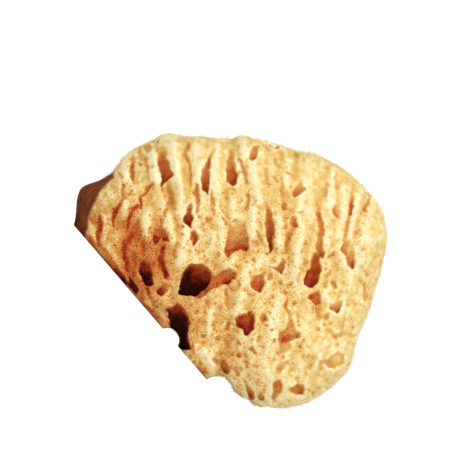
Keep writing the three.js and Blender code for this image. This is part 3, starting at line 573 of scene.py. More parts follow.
class FaceMap:
    """How deep the face lies below the smooth form, in mm, over u and v, and how dark its colour is
    painted, mostly as painted shade.
    """

    def __init__(self):
        self.u = np.arange(GRID_LOW[0] - FACE_MARGIN, GRID_HIGH[0] + FACE_MARGIN, FACE_CELL)
        self.v = np.arange(GRID_LOW[1] - FACE_MARGIN, GRID_HIGH[1] + FACE_MARGIN, FACE_CELL)
        self.shift_u = self.ragged_shift(50)
        self.shift_v = self.ragged_shift(60)
        layers = np.zeros((5, len(self.u), len(self.v)))
        self.pits, self.tones, self.halos, self.ridges, self.lips = layers
        bent_u, bent_v = self.u[:, None] + self.shift_u, self.v[None, :] + self.shift_v
        self.facet = eased(0.5 - outline_distance(bent_u, bent_v, FACET) / 1.5)

    def noise(self, spacing, seed):
        return flat_noise(self.u, self.v, spacing, seed)

    def ragged_shift(self, first_seed):
        """Bends every outline a little, in large and small waves."""
        return sum(share * self.noise(size, first_seed + seed) for size, seed, share in BENDS)

    def window(self, points, reach):
        """The part of the map round some points, and its bent places."""
        places = np.array([point[:2] for point in points])
        low, high = places.min(axis=0) - reach, places.max(axis=0) + reach
        part = (
            slice(*np.searchsorted(self.u, (low[0], high[0]))),
            slice(*np.searchsorted(self.v, (low[1], high[1]))),
        )
        u = self.u[part[0], None] + self.shift_u[part]
        v = self.v[None, part[1]] + self.shift_v[part]
        return part, u, v

    def open_mouth(self, outline, depth, soft_end, softness):
        part, u, v = self.window(outline, MAP_REACH[0])
        distance = outline_distance(u, v, outline) - MOUTH_SPREAD
        turn = math.radians(soft_end)
        reach = [a * math.cos(turn) + b * math.sin(turn) for a, b in outline]
        fallen = max(reach) - u * math.cos(turn) - v * math.sin(turn)
        fallen = np.clip(fallen / (MOUTH_FALL * (max(reach) - min(reach))), 0, 1)
        floor = 1 - softness * (1 - fallen)
        self.shade_round(part, distance, depth * floor)
        soft = softness * (1 - fallen) * (0.2 if depth > HOLE_DEPTH else 1)
        wall = np.sin(np.clip(-distance / (MOUTH_WALL * (1 + soft)), 0, 1) * math.pi / 2)
        lower(self.pits, part, pressed(outline, depth) * wall * floor)
        edge = MOUTH_EDGE[0] + (MOUTH_EDGE[1] - MOUTH_EDGE[0]) * soft
        # Painted shade of the pit, partly the sponge's darker inside.
        shade = eased(0.35 - distance / edge) * floor**1.3
        lower(self.tones, part, MOUTH_TONE * depth * shade)
        lip = np.exp(-((distance / LIP_WIDTH) ** 2)) * floor * min(1, depth / 5)
        lower(self.lips, part, lip)

    def shade_round(self, part, distance, depth):
        """A soft painted shade round a pit or groove. Shades add up where these lie close together."""
        fading = np.exp(-((np.maximum(distance, 0) / HALO_REACH) ** 2))
        self.halos[part] += HALO_SHARE * depth * fading

    def press_stroke(self, stroke, depth, shaded=True):
        part, u, v = self.window(stroke, MAP_REACH[0])
        distance = stroke_distance(u, v, stroke)
        widest = max(point[2] for point in stroke)
        if shaded:
            self.shade_round(part, distance, depth * min(1, widest))
        wall = eased((STROKE_SOFTNESS - distance) / (STROKE_SOFTNESS + widest))
        lower(self.pits, part, STROKE_SHARE * depth * wall)
        # Painted shade of the groove, partly the sponge's darker inside.
        shade = eased((STROKE_SOFTNESS - distance) / (STROKE_SOFTNESS + 0.6 * min(widest, 0.9)))
        lower(self.tones, part, STROKE_TONE * depth * shade)

    def raise_ridge(self, stroke, height):
        part, u, v = self.window(stroke, MAP_REACH[1])
        widest = max(point[2] for point in stroke)
        distance = stroke_distance(u, v, stroke)
        lower(self.ridges, part, RIDGE_SHARE * height * eased(0.5 - distance / (3.2 * widest)))

    def scatter_specks(self):
        """Small pores and short cracks, dark with painted shade, fewest on the pleats near the top."""
        rng = np.random.default_rng(5)
        for _ in range(SPECKS):
            u, v = rng.uniform(-78, 76), rng.uniform(-86, 44)
            radius, turn = 0.25 + 0.45 * rng.uniform() ** 2, rng.uniform(0, math.pi)
            length, depth = rng.uniform(0.2, 1.2), rng.uniform(0.8, 2.6)
            if v > 8 and rng.uniform() < 0.7:
                continue
            end = (u + length * math.cos(turn), v + length * math.sin(turn), radius * 0.7)
            self.press_stroke(((u, v, radius), end), depth, False)

    def pleats(self):
        """Thick round pleats with sharp creases, strongest in the upper part."""
        upper = 0.3 + 0.7 * eased((self.v + 35) / 45)
        height = 0
        for size, seed, share in PLEATS:
            rounded = np.sqrt(fan_noise(self.u, self.v, size, seed) ** 2 + CREASE)
            height = height + share * (rounded - 0.5)
        return height * upper

    def crumb(self):
        """Lumps and hollows of a few mm, strongest in the lower part."""
        lower_part = 0.4 + 0.6 * eased((15 - self.v) / 40)
        height = sum(share * (np.abs(self.noise(size, seed)) - 0.45) for size, seed, share in CRUMBS)
        return height * lower_part

    def depths(self):
        relief = self.pleats() + self.crumb() + self.ridges
        kept = 1 - 0.75 * np.clip(self.pits / 4, 0, 1)
        rough = 0.4 + 0.9 * np.abs(self.noise((1.4, 1.4), 91))
        lips = self.lips * LIP_HEIGHT * rough * (self.pits < 1.5)
        return (self.pits - relief * kept - lips) * (1 - self.facet) + FACET_DEPTH * self.facet

    def colour_depths(self):
        """The depth, in mm, that the colour of each place stands for: painted shade in pits, grooves
        and halos, and painted light on raised pleats, ridges and rims.
        """
        # Painted light: pits, halos and pleats are painted less dark towards the right, where the
        # light falls.
        lit_right = 1 - 0.45 * eased((self.u - 20) / 30)[:, None]
        # Painted shade: pits and halos are painted darker towards the lower left, away from the light.
        shaded_left = 1 + 0.6 * eased((-20 - self.u) / 16)[:, None] * eased((20 - self.v) / 16)
        # Painted light on raised pleats, ridges and pit rims, and painted shade in the halos and broad
        # places.
        painted_shading = (-1.2 * self.pleats() - 1.1 * self.ridges - 0.4 * self.lips) * lit_right * shaded_left
        painted_shading += 6 * (1 - np.exp(-self.halos * shaded_left**2 / 6)) - 0.6
        painted_shading += broad_light_and_shade(self.u[:, None], self.v[None, :])
        cloudy = 0.72
        for size, seed, share in CLOUDS:
            cloudy = cloudy + share * np.abs(self.noise(size, seed))
        tones = self.tones * shaded_left * (0.3 + 0.7 * lit_right) * np.minimum(cloudy, 1.1)
        return tones + painted_shading * (1 - np.clip(tones / 8, 0, 1))


def lower(layer, part, values):
    """Lets a layer of the face map go down to these values in one part."""
    layer[part] = np.maximum(layer[part], values)


def face_map():
    face = FaceMap()
    for mouth in MOUTHS:
        face.open_mouth(*mouth)
    for stroke in STROKES:
        face.press_stroke(*stroke)
    for ridge in RIDGES:
        face.raise_ridge(*ridge)
    face.scatter_specks()
    return face


def map_value(face, values, u, v):
    """Values of the face map at places, with straight blends between."""
    at_u = np.clip((u - face.u[0]) / FACE_CELL, 0, len(face.u) - 1.001)
    at_v = np.clip((v - face.v[0]) / FACE_CELL, 0, len(face.v) - 1.001)
    i, j = at_u.astype(int), at_v.astype(int)
    s, t = at_u - i, at_v - j
    near = values[i, j] * (1 - s) + values[i + 1, j] * s
    far = values[i, j + 1] * (1 - s) + values[i + 1, j + 1] * s
    return near * (1 - t) + far * t


def face_share(w):
    """How much the face map counts at this height in front of the rim, 0 to 1."""
    return eased((w - FACE_FADE[0]) / (FACE_FADE[1] - FACE_FADE[0]))


def press_face(smooth, face):
    """The field with the face map in its front. Pits run inwards, down and to the left."""
    field = smooth.copy()
    depths = face.depths()
    slopes = np.gradient(depths, FACE_CELL)
    steepness = np.minimum(np.sqrt(1 + slopes[0] ** 2 + slopes[1] ** 2), 7)
    first = np.searchsorted(AXES[2], FACE_FADE[0])
    front = smooth[:, :, first:]
    band = np.nonzero((front > -5) & (front < 24))
    below = np.maximum(front[band], 0)
    u = AXES[0][band[0]] + PIT_LEAN[0] * below
    v = AXES[1][band[1]] + PIT_LEAN[1] * below
    share = face_share(AXES[2][first:])[band[2]]
    pressed_in = front[band] - share * map_value(face, depths, u, v)
    pressed_in /= 1 + share * (map_value(face, steepness, u, v) - 1)
    field[:, :, first:][band] = pressed_in
    return field


class Pits:
    """Takes angular hollows out of the field, with their shapes bent by a warp."""

    def __init__(self, field, warp):
        self.field = field
        self.warp = warp
        self.rng = np.random.default_rng(3)

    def angular(self, x, y):
        """Share of the full radius at which an uneven rounded polygon lies, by direction."""
        corners = int(self.rng.integers(3, 7))
        turn = self.rng.uniform(0, 2 * math.pi)
        angle = np.arctan2(y, x) + turn + 0.25 * np.sin(np.arctan2(y, x) + 2 * turn)
        sector = 2 * math.pi / corners
        flat = math.cos(sector / 2) / np.cos(np.mod(angle, sector) - sector / 2)
        return 0.25 + 0.85 * flat

    def window(self, at, spread):
        window, places = [], []
        for axis, middle, reach in zip(AXES, at, spread):
            first, last = np.searchsorted(axis, (middle - reach, middle + reach))
            window.append(slice(first, last))
            places.append(axis[first:last] - middle)
        offsets = np.stack(np.broadcast_arrays(*np.ix_(*places)))
        return tuple(window), offsets

    def carve(self, at, outward, along, size, blend, bent=True):
        """size is length, width and depth. The hollow's middle lies at the point."""
        side = np.cross(along, outward)
        side /= np.linalg.norm(side)
        basis = np.array((side, np.cross(outward, side), outward))
        half = np.array((size[1] / 2, size[0] / 2, size[2]))
        window, offsets = self.window(at, np.abs(basis.T) @ half + blend * 2 + 2.5)
        if min(offsets.shape[1:]) < 2:
            return
        if bent:
            offsets = offsets + np.stack([warp[window] for warp in self.warp])
        x, y, z = np.tensordot(basis, offsets, axes=1) / half[:, None, None, None]
        across = np.hypot(x, y)
        if bent:
            across = across / self.angular(x, y)
        ring = np.hypot(across, z)
        steepness = np.sqrt(sum(part**2 for part in np.gradient(ring, CELL)))
        outside = (ring - 1) / np.maximum(steepness, 0.02)
        solid = self.field[window]
        mix = np.clip(0.5 + 0.5 * (solid - outside) / blend, 0, 1)
        self.field[window] = solid * (1 - mix) + outside * mix - blend * mix * (1 - mix)


def unit(vector):
    return np.asarray(vector, dtype=float) / np.linalg.norm(vector)


def seeded_numbers(seed):
    """The same series of numbers between 0 and 1 for a seed, by the Lehmer rule."""
    modulus, multiplier = 2147483647, 16807
    state = seed
    while True:
        state = state * multiplier % modulus
        yield state / modulus


def between(numbers, low, high):
    return low + (high - low) * next(numbers)


def carve_spiral(pits):
    """The larger pits of the sides and back, none along the rim, where the outline stays whole."""
    numbers = seeded_numbers(SPIRAL_SEED)
    golden_turn = math.pi * (3 - math.sqrt(5))
    for i in range(OTHER_PITS):
        z = FACE_SHARE - (i + 0.5) * (1 + FACE_SHARE) / OTHER_PITS
        ring = math.sqrt(1 - z * z)
        direction = np.array((ring * math.cos(golden_turn * i), ring * math.sin(golden_turn * i), z))
        along = np.array((next(numbers) - 0.5, 1, next(numbers) - 0.5))
        length = between(numbers, *OTHER_PIT_LENGTH)
        width = length * between(numbers, *OTHER_PIT_NARROWING)
        depth = width * between(numbers, *OTHER_PIT_DEPTH)
        if z < -RIM_BAND:
            at = surface_point(direction)
            pits.carve(at, outward_normal(at), along, (length, width, depth), PIT_BLEND)


def to_face_view(x, y, z):
    """A point of the standing sponge, in mm, in the face view."""
    across, up = x + MIDDLE_X, z - CUT_DROP
    u = across * math.cos(CUT_LEAN) + up * math.sin(CUT_LEAN)
    v = up * math.cos(CUT_LEAN) - across * math.sin(CUT_LEAN)
    return np.array((u, v, MIDDLE_W - y))


def carve_cut(pits):
    down = np.array((-math.sin(CUT_LEAN), -math.cos(CUT_LEAN), 0.0))
    along = np.array((0.0, 0.0, 1.0))
    for x, y, length, width, depth in CUT_PITS:
        at = to_face_view(x, y, 0)
        pits.carve(at, down, along, (length, width, depth), PIT_BLEND, False)


def scattered_points(count, rng):
    """Points spread evenly over the smooth form, as many as count."""
    points = []
    most = 2.2 * 90.0**2
    heart = np.array((*HEART, 0.0))
    while len(points) < count:
        direction = unit(rng.normal(size=3))
        at = surface_point(direction)
        away = at - heart
        stretch = away @ away / max(0.15, outward_normal(at) @ direction)
        if rng.uniform() * most < stretch:
            points.append(at)
    return points


def carve_small_pores(pits):
    """Pores of 1 to 5 mm all over, but for the face."""
    rng = np.random.default_rng(7)
    for at in scattered_points(SMALL_PORES, rng):
        normal = outward_normal(at)
        width = rng.lognormal(math.log(SMALL_PORE_MIDDLE), SMALL_PORE_SPREAD)
        width = float(np.clip(width, *SMALL_PORE_WIDTHS))
        length = width * rng.uniform(1.0, 2.2)
        along = np.array((rng.uniform(-0.5, 0.5), 1, rng.uniform(-0.5, 0.5)))
        outward = unit(normal + rng.normal(size=3) * 0.25)
        depth = width * rng.uniform(0.8, 1.6) * min(1, 0.35 + abs(at[2]) / 12)
        if normal[2] < 0.3:
            pits.carve(at, outward, along, (length, width, depth), PORE_BLEND)


def side_relief():
    """Pleats and crumb of the sides and back, none where the face map works in full."""
    pleats = 1.6 * (np.abs(soft_noise((5, 22, 6), 31)) - 0.3)
    crumb = 0.9 * (np.abs(soft_noise((3.4, 4.2, 3.4), 32)) - 0.3)
    behind_rim = 0.3 + 0.7 * eased(-AXES[2] / 14)
    return (pleats + crumb) * behind_rim * (1 - face_share(AXES[2]))


def cut_off(field, smooth):
    """Cuts the field off flat, and gives the share of painted shade along the worn edge of the cut."""
    u, v, _ = grid_places()
    over_cut = height_over_cut(u, v)
    worn = EDGE_BAND * (1 + 0.8 * soft_noise((7, 7, 7), 34)) * eased(AXES[2] / 18)
    np.minimum(field, (over_cut + smooth - worn) / math.sqrt(2), out=field)
    notch = np.hypot(u - NOTCH_MIDDLE[0], v - NOTCH_MIDDLE[1]) - NOTCH_RADIUS
    np.minimum(field, notch + 0.4 * soft_noise((2.5, 2.5, 2.5), 36), out=field)
    np.minimum(field, over_cut, out=field)
    band = np.clip(1.7 - np.abs(over_cut + smooth - worn) / 1.1, 0, 1)
    uneven = np.clip(0.65 + 0.9 * soft_noise((4, 4, 4), 37), 0.15, 1.1)
    return band * uneven * eased(AXES[2] / 14) * (over_cut > 0.3)


class Skeleton:
    """The whole sponge as a field, with what its colours need to know."""

    def __init__(self):
        self.smooth = body_field()
        self.face = face_map()
        u, v = np.broadcast_arrays(*grid_places()[:2])
        self.facet = map_value(self.face, self.face.facet, u, v)
        self.field = press_face(self.smooth, self.face)
        self.field += side_relief() * (1 - self.facet)
        pits = Pits(self.field, [self.warp(i) for i in range(3)])
        carve_spiral(pits)
        carve_small_pores(pits)
        self.field += 0.25 * soft_noise((1.5, 1.6, 1.5), 33) * (1 - 0.7 * self.facet)
        self.band = cut_off(self.field, self.smooth)
        carve_cut(pits)

    def warp(self, i):
        return soft_noise((9, 9, 9), 11 + i) * 0.8 + soft_noise((3.2, 3.2, 3.2), 21 + i) * 0.9

    def tones(self, points):
        """The depth that the colour stands for, as a share of the darkest, at surface points. It is
        painted shade in pits, grooves and along the cut, and painted light where it is below 0.
        """
        u, v, w = points.T
        below = np.maximum(sample(self.smooth, points), 0)
        over_cut = height_over_cut(u, v)
        leaning = (u + PIT_LEAN[0] * below, v + PIT_LEAN[1] * below)
        on_face = map_value(self.face, self.face.colour_depths(), *leaning) * eased(over_cut / 0.6)
        # Painted shade that darkens with depth below the smooth form.
        elsewhere = SIDE_TONE * (np.minimum(below, over_cut) - SIDE_PALE)
        # Broad painted light and shade, fading out behind the rim.
        elsewhere += (broad_light_and_shade(u, v) - 0.8) * eased((w + SIDE_SHADE_REACH) / SIDE_SHADE_REACH)
        on_face = np.where(below > over_cut, np.maximum(on_face, elsewhere), on_face)
        share = face_share(w)
        tones = on_face * share + elsewhere * (1 - share)
        # Painted shade along the worn edge of the cut.
        shaded_edge = EDGE_SHADE_TONE * sample(self.band, points)
        return np.clip(np.maximum(tones, shaded_edge) / DARKEST, -0.2, 1)

    def pinhole_shade_and_grain(self, points):
        """How strong the painted shade of the pinholes and the grain are, least on the pleats at the
        top and right of the face.
        """
        u, v, w = points.T
        grainy = 1 - 0.75 * eased((v - 2) / 26) * eased((u + 60) / 30)
        grainy *= 1 - 0.5 * eased((u - 20) / 26)
        grainy += 0.15 * eased((-15 - u) / 20) * eased((24 - v) / 16)
        return 1 - (1 - grainy) * face_share(w)

    def skin(self, points):
        """How much painted shade of dark brown the surface has, at surface points. The patch fades out
        behind the rim.
        """
        u, v, w = points.T
        over_cut = height_over_cut(u, v)
        uneven = sample(soft_noise((9, 9, 9), 38), points) * eased((14 - w) / 16)
        reach = np.hypot(over_cut / PATCH_HEIGHT, np.minimum(w - 4, 0) / PATCH_BACK) + 0.25 * uneven
        bend = PATCH_BEND * uneven
        patch = map_value(self.face, self.face.facet, u - bend, v + bend)
        return patch * eased((1.15 - reach) * 7)


# The corners of a grid cell, and the pairs of them, by number, that an edge joins.
CORNERS = [(i, j, k) for i in (0, 1) for j in (0, 1) for k in (0, 1)]
CELL_EDGES = [(a, a + step) for a in range(8) for step in (1, 2, 4) if not a & step]


def crossed_cells(inside, shape):
    """The cells that the surface runs through, as grid steps."""
    corners = [inside[tuple(slice(o, o + n) for o, n in zip(offset, shape))] for offset in CORNERS]
    return np.argwhere(np.logical_or.reduce(corners) & ~np.logical_and.reduce(corners))


def net_vertices(field, cells):
    """One vertex in each crossed cell, at the mean of where its edges meet the zero level."""
    values = np.stack([field[tuple((cells + offset).T)] for offset in CORNERS], axis=1)
    crossed_at = np.zeros((len(cells), 3))
    crossings = np.zeros(len(cells))
    for a, b in CELL_EDGES:
        step = np.subtract(CORNERS[b], CORNERS[a])
        crossed = (values[:, a] > 0) != (values[:, b] > 0)
        share = values[crossed, a] / (values[crossed, a] - values[crossed, b])
        crossed_at[crossed] += np.array(CORNERS[a]) + share[:, None] * step
        crossings[crossed] += 1
    return cells + crossed_at / crossings[:, None]


def net_faces(inside, number, side, leaving):
    """The faces round the grid edges along one side that leave, or enter, the inside."""
    shape = number.shape
    other, third = (side + 1) % 3, (side + 2) % 3
    low = [slice(1, n) for n in shape]
    low[side] = slice(0, shape[side])
    high = list(low)
    high[side] = slice(1, shape[side] + 1)
    start, end = inside[tuple(low)], inside[tuple(high)]
    edges = np.argwhere(start & ~end if leaving else ~start & end)
    at = edges + [0 if i == side else 1 for i in range(3)]
    ring = []
    for back_other, back_third in ((1, 1), (0, 1), (0, 0), (1, 0)):
        cell = at.copy()
        cell[:, other] -= back_other
        cell[:, third] -= back_third
        ring.append(number[tuple(cell.T)])
    quads = np.stack(ring, axis=1)
    return quads if leaving else quads[:, ::-1]


def surface_net(field):
    """Vertices in grid steps and four-sided faces round the zero level of a field."""
    inside = field > 0
    shape = tuple(n - 1 for n in field.shape)
    cells = crossed_cells(inside, shape)
    number = np.full(shape, -1, dtype=np.int64)
    number[tuple(cells.T)] = np.arange(len(cells))
    faces = [net_faces(inside, number, side, way) for side in range(3) for way in (True, False)]
    return net_vertices(field, cells), np.concatenate(faces)


def largest_piece(vertices, faces):
    """Leaves out crumbs and closed bubbles that hang free of the main surface."""
    label = np.arange(len(vertices))
    while True:
        lowest = label[faces].min(axis=1)
        fresh = label.copy()
        for column in faces.T:
            np.minimum.at(fresh, column, lowest)
        fresh = fresh[fresh]
        if np.array_equal(fresh, label):
            break
        label = fresh
    names, counts = np.unique(label, return_counts=True)
    kept = label == names[np.argmax(counts)]
    faces = faces[kept[faces[:, 0]]]
    renumber = np.cumsum(kept) - 1
    return vertices[kept], renumber[faces]


def add_object(name, data):
    thing = bpy.data.objects.new(name, data)
    bpy.context.scene.collection.objects.link(thing)
    return thing


def mesh_object(name, vertices, faces):
    mesh = bpy.data.meshes.new(name)
    mesh.vertices.add(len(vertices))
    mesh.vertices.foreach_set("co", np.ascontiguousarray(vertices, dtype=np.float32).ravel())
    mesh.loops.add(faces.size)
    mesh.loops.foreach_set("vertex_index", np.ascontiguousarray(faces, dtype=np.int32).ravel())
    mesh.polygons.add(len(faces))
    mesh.polygons.foreach_set("loop_start", np.arange(0, faces.size, faces.shape[1], dtype=np.int32))
    mesh.polygons.foreach_set("use_smooth", np.ones(len(faces), dtype=bool))
    mesh.update(calc_edges=True)
    mesh.validate()
    return add_object(name, mesh)


def to_rest(points):
    """Points of the face view, in mm, in the row's frame, in metres."""
    u, v, w = points.T
    across, up = stood_up(u, v)
    return np.stack((across - MIDDLE_X, MIDDLE_W - w, up + CUT_DROP), axis=1) * MM


def from_rest(points):
    x, y, z = (points / MM).T
    return to_face_view(x, y, z).T


def box_blur(values, radius):
    """Mean over a cube that reaches radius mm each way."""
    steps = max(1, int(round(radius / CELL)))
    width = 2 * steps + 1
    for side in range(3):
        pad = [(0, 0)] * 3
        pad[side] = (steps + 1, steps)
        running = np.cumsum(np.pad(values, pad, mode="edge"), axis=side, dtype=np.float32)
        count = values.shape[side]
        above = np.take(running, range(width, width + count), axis=side)
        values = (above - np.take(running, range(0, count), axis=side)) / width
    return values


def sample(values, points):
    """Values of a grid at points of the face view, in mm, with straight blends between."""
    at = (points - np.array(GRID_LOW)) / CELL
    at = np.clip(at, 0, np.array(values.shape) - 1.001)
    base = at.astype(int)
    share = at - base
    blended = np.zeros(len(points))
    for corner in CORNERS:
        near = np.prod(np.where(corner, share, 1 - share), axis=1)
        blended += near * values[tuple((base + corner).T)]
    return blended


def store(piece, name, values):
    """Keeps a value for each vertex, for the material and the fibres to read."""
    attribute = piece.data.attributes.new(name, "FLOAT", "POINT")
    attribute.data.foreach_set("value", np.ascontiguousarray(values, dtype=np.float32))


def thin_out(piece, points):
    """Joins the flattest neighbouring faces, fewest on the face side, down to the limit."""
    front = points[:, 2] > 3
    group = piece.vertex_groups.new(name="joined readily")
    group.add(np.nonzero(front)[0].tolist(), 0.5, "REPLACE")
    group.add(np.nonzero(~front)[0].tolist(), 1.0, "REPLACE")
    modifier = piece.modifiers.new("thin out", "DECIMATE")
    modifier.ratio = min(1.0, MOST_TRIANGLES / (2 * len(piece.data.polygons)))
    modifier.vertex_group = group.name
    modifier.vertex_group_factor = FACE_FAVOUR
    evaluated = piece.evaluated_get(bpy.context.evaluated_depsgraph_get())
    mesh = bpy.data.meshes.new_from_object(evaluated)
    piece.modifiers.clear()
    old = piece.data
    piece.data = mesh
    piece.vertex_groups.clear()
    bpy.data.meshes.remove(old)
    mesh.name = piece.name
    mesh.polygons.foreach_set("use_smooth", np.ones(len(mesh.polygons), dtype=bool))


def face_view_places(piece):
    places = np.empty(len(piece.data.vertices) * 3, dtype=np.float32)
    piece.data.vertices.foreach_get("co", places)
    return from_rest(places.reshape(-1, 3).astype(np.float64))


def sponge_body():
    skeleton = Skeleton()
    vertices, faces = largest_piece(*surface_net(skeleton.field))
    points = vertices * CELL + np.array(GRID_LOW)
    piece = mesh_object("sponge_body", to_rest(points), faces)
    thin_out(piece, points)
    points = face_view_places(piece)
    solid = np.clip(skeleton.field / CELL + 0.5, 0, 1)
    # How much solid is round each place, near it and further out: painted shade in hollows and
    # crevices, and fewer fibres there.
    for name, radius in (("crevice", 0.9), ("hollow", 2.4)):
        store(piece, name, sample(box_blur(box_blur(solid, radius), radius), points))
    for name, values in (("tone", skeleton.tones), ("skin", skeleton.skin), ("pinhole_shade_and_grain", skeleton.pinhole_shade_and_grain)):
        store(piece, name, values(points))
    return piece


def add_node(tree, kind, inputs, **settings):
    """A node with its settings, whose inputs take numbers, colours or other nodes' sockets."""
    node = tree.nodes.new(kind)
    for name, value in settings.items():
        setattr(node, name, value)
    for name, value in inputs.items():
        if isinstance(value, bpy.types.NodeSocket):
            tree.links.new(value, node.inputs[name])
        else:
            node.inputs[name].default_value = value
    return node


def colour_ramp(tree, stops, source):
    ramp = add_node(tree, "ShaderNodeValToRGB", {"Fac": source})
    elements = ramp.color_ramp.elements
    while len(elements) < len(stops):
        elements.new(0.5)
    for element, (place, colour) in zip(elements, stops):
        element.position = place
        element.color = (*colour, 1)
    return ramp.outputs["Color"]


def stored(tree, name):
    return add_node(tree, "ShaderNodeAttribute", {}, attribute_name=name).outputs["Fac"]


def product(tree, first, second):
    return add_node(tree, "ShaderNodeMath", {0: first, 1: second}, operation="MULTIPLY").outputs[0]


def weighted_sum(tree, *parts):
    """Sum of sockets, each with the share that it counts for."""
    scaled = [product(tree, part, share) for part, share in parts]
    whole = scaled[0]
    for part in scaled[1:]:
        whole = add_node(tree, "ShaderNodeMath", {0: whole, 1: part}, operation="ADD").outputs[0]
    return whole


def mapped(tree, value, from_low, from_high, to_low=0.0, to_high=1.0):
    inputs = {"Value": value, "From Min": from_low, "From Max": from_high}
    inputs.update({"To Min": to_low, "To Max": to_high})
    return add_node(tree, "ShaderNodeMapRange", inputs).outputs["Result"]


def object_places(tree):
    return tree.nodes.new("ShaderNodeTexCoord").outputs["Object"]


def clouds(tree, scale, detail=3.0, roughness=0.6):
    inputs = {"Vector": object_places(tree), "Scale": scale, "Detail": detail, "Roughness": roughness}
    return add_node(tree, "ShaderNodeTexNoise", inputs).outputs["Fac"]


def swinging(tree, scale, detail=3.0):
    """Clouds that run from about -1 to 1."""
    return mapped(tree, clouds(tree, scale, detail), 0.3, 0.7, -1.0, 1.0)


def cell_distance(tree, scale):
    """Distance to the nearest of many scattered points, in steps of their spacing."""
    inputs = {"Vector": object_places(tree), "Scale": scale}
    return add_node(tree, "ShaderNodeTexVoronoi", inputs).outputs["Distance"]


def blend_colour(tree, share, below, above):
    inputs = {"Factor": share, "A": below, "B": above}
    for name in ("A", "B"):
        if isinstance(inputs[name], tuple):
            inputs[name] = (*inputs[name], 1)
    return add_node(tree, "ShaderNodeMix", inputs, data_type="RGBA").outputs["Result"]


# Colours of the skeleton by the share of the darkest depth. The darker colours are painted shade of
# pits, grooves and hollows, partly the darker colour of the sponge's inside.
SKELETON_COLOURS = (
    (0.00, (0.99, 0.95, 0.71)),
    (0.05, (0.945, 0.83, 0.475)),
    (0.11, (0.89, 0.70, 0.315)),
    (0.18, (0.82, 0.57, 0.208)),
    (0.26, (0.74, 0.435, 0.134)),
    (0.35, (0.66, 0.29, 0.080)),
    (0.45, (0.60, 0.155, 0.036)),
    (0.56, (0.53, 0.080, 0.021)),
    (0.68, (0.42, 0.044, 0.015)),
    (0.82, (0.19, 0.020, 0.009)),
    (1.00, (0.045, 0.008, 0.006)),
)
# Dark browns of the patch of painted shade at the left end.
FACET_SHADE_BROWNS = ((0.145, 0.030, 0.009), (0.27, 0.082, 0.024))
WARM_LIGHT = (1.0, 0.87, 0.66)

# How fine the patterns of the material are, in steps for each metre.
PINHOLES = 560.0
PINHOLE_PATCHES = 260.0
FIBRE_GRAIN = 1900.0
BROAD_SHADES = 130.0
BROWN_CLOUDS = 240.0
CRUMB_BUMPS = 900.0


def hollow_shade_share(tree):
    """Painted shade in hollows and crevices, by how much solid is round each place."""
    return weighted_sum(
        tree,
        (mapped(tree, stored(tree, "hollow"), 0.40, 0.90), 0.40),
        (mapped(tree, stored(tree, "crevice"), 0.42, 0.82), 0.22),
    )


def depth_share(tree):
    """The share of the darkest depth that each place stands for, as painted shade of pits, grooves,
    hollows and crevices.
    """
    tone = stored(tree, "tone")
    fading = mapped(tree, tone, 0.05, 0.40, 1.0, 0.0)
    return weighted_sum(
        tree,
        (tone, 1.0),
        (product(tree, hollow_shade_share(tree), fading), 1.0),
        (swinging(tree, BROAD_SHADES), 0.05),
    )


def skeleton_colour(tree, pinholes):
    # Pinholes are dark with painted shade; the finer clouds are the fibres' own grain.
    shaded_pinholes = product(tree, pinholes, mapped(tree, clouds(tree, PINHOLE_PATCHES), 0.44, 0.54))
    pinhole_shade_and_grain = weighted_sum(tree, (shaded_pinholes, 0.36), (swinging(tree, FIBRE_GRAIN, 1.0), 0.15))
    pinhole_shade_and_grain = product(tree, pinhole_shade_and_grain, stored(tree, "pinhole_shade_and_grain"))
    darkness = weighted_sum(tree, (depth_share(tree), 1.0), (pinhole_shade_and_grain, 1.0))
    return colour_ramp(tree, SKELETON_COLOURS, darkness)


def shaded_patch_colour(tree):
    clouded = mapped(tree, clouds(tree, BROWN_CLOUDS, 4.0, 0.7), 0.42, 0.68)
    return blend_colour(tree, clouded, *FACET_SHADE_BROWNS)


def new_material(name):
    material = bpy.data.materials.new(name)
    material.use_nodes = True
    return material, material.node_tree, material.node_tree.nodes["Principled BSDF"]


def skeleton_material():
    """Cream on the ridges, over golden and orange-brown to near black in the deepest holes: painted
    shade in the hollows, partly the darker colour of the sponge's inside.
    """
    material, tree, shader = new_material("sponge skeleton")
    shader.inputs["Roughness"].default_value = 0.95
    shader.inputs["Specular IOR Level"].default_value = 0.15
    pinholes = mapped(tree, cell_distance(tree, PINHOLES), 0.14, 0.26, 1.0, 0.0)
    skeleton = skeleton_colour(tree, pinholes)
    # The brown patch at the left end is painted shade.
    colour = blend_colour(tree, stored(tree, "skin"), skeleton, shaded_patch_colour(tree))
    tree.links.new(colour, shader.inputs["Base Color"])
    height = weighted_sum(tree, (clouds(tree, CRUMB_BUMPS, 4.0, 0.7), 1.0), (pinholes, -0.8))
    bump = add_node(tree, "ShaderNodeBump", {"Strength": 0.6, "Distance": 0.5 * MM, "Height": height})
    tree.links.new(bump.outputs["Normal"], shader.inputs["Normal"])
    return material


def tree_input(tree, name, kind):
    return tree.interface.new_socket(name, in_out="INPUT", socket_type=kind).identifier


def fibre_shape(tree, given):
    """One short curved fibre that stands on the origin, as a closed tube with few sides."""
    bend = {"Resolution": 2}
    for name, point in FIBRE_BEND.items():
        inputs = {0: point, "Scale": given["Length"]}
        bend[name] = add_node(tree, "ShaderNodeVectorMath", inputs, operation="SCALE").outputs[0]
    curve = add_node(tree, "GeometryNodeCurveQuadraticBezier", bend)
    outline = {"Resolution": 3, "Radius": given["Radius"]}
    profile = add_node(tree, "GeometryNodeCurvePrimitiveCircle", outline)
    inputs = {"Curve": curve.outputs["Curve"], "Profile Curve": profile.outputs["Curve"]}
    inputs["Fill Caps"] = True
    return add_node(tree, "GeometryNodeCurveToMesh", inputs).outputs["Mesh"]


def named_value(tree, name):
    return add_node(tree, "GeometryNodeInputNamedAttribute", {"Name": name}).outputs["Attribute"]


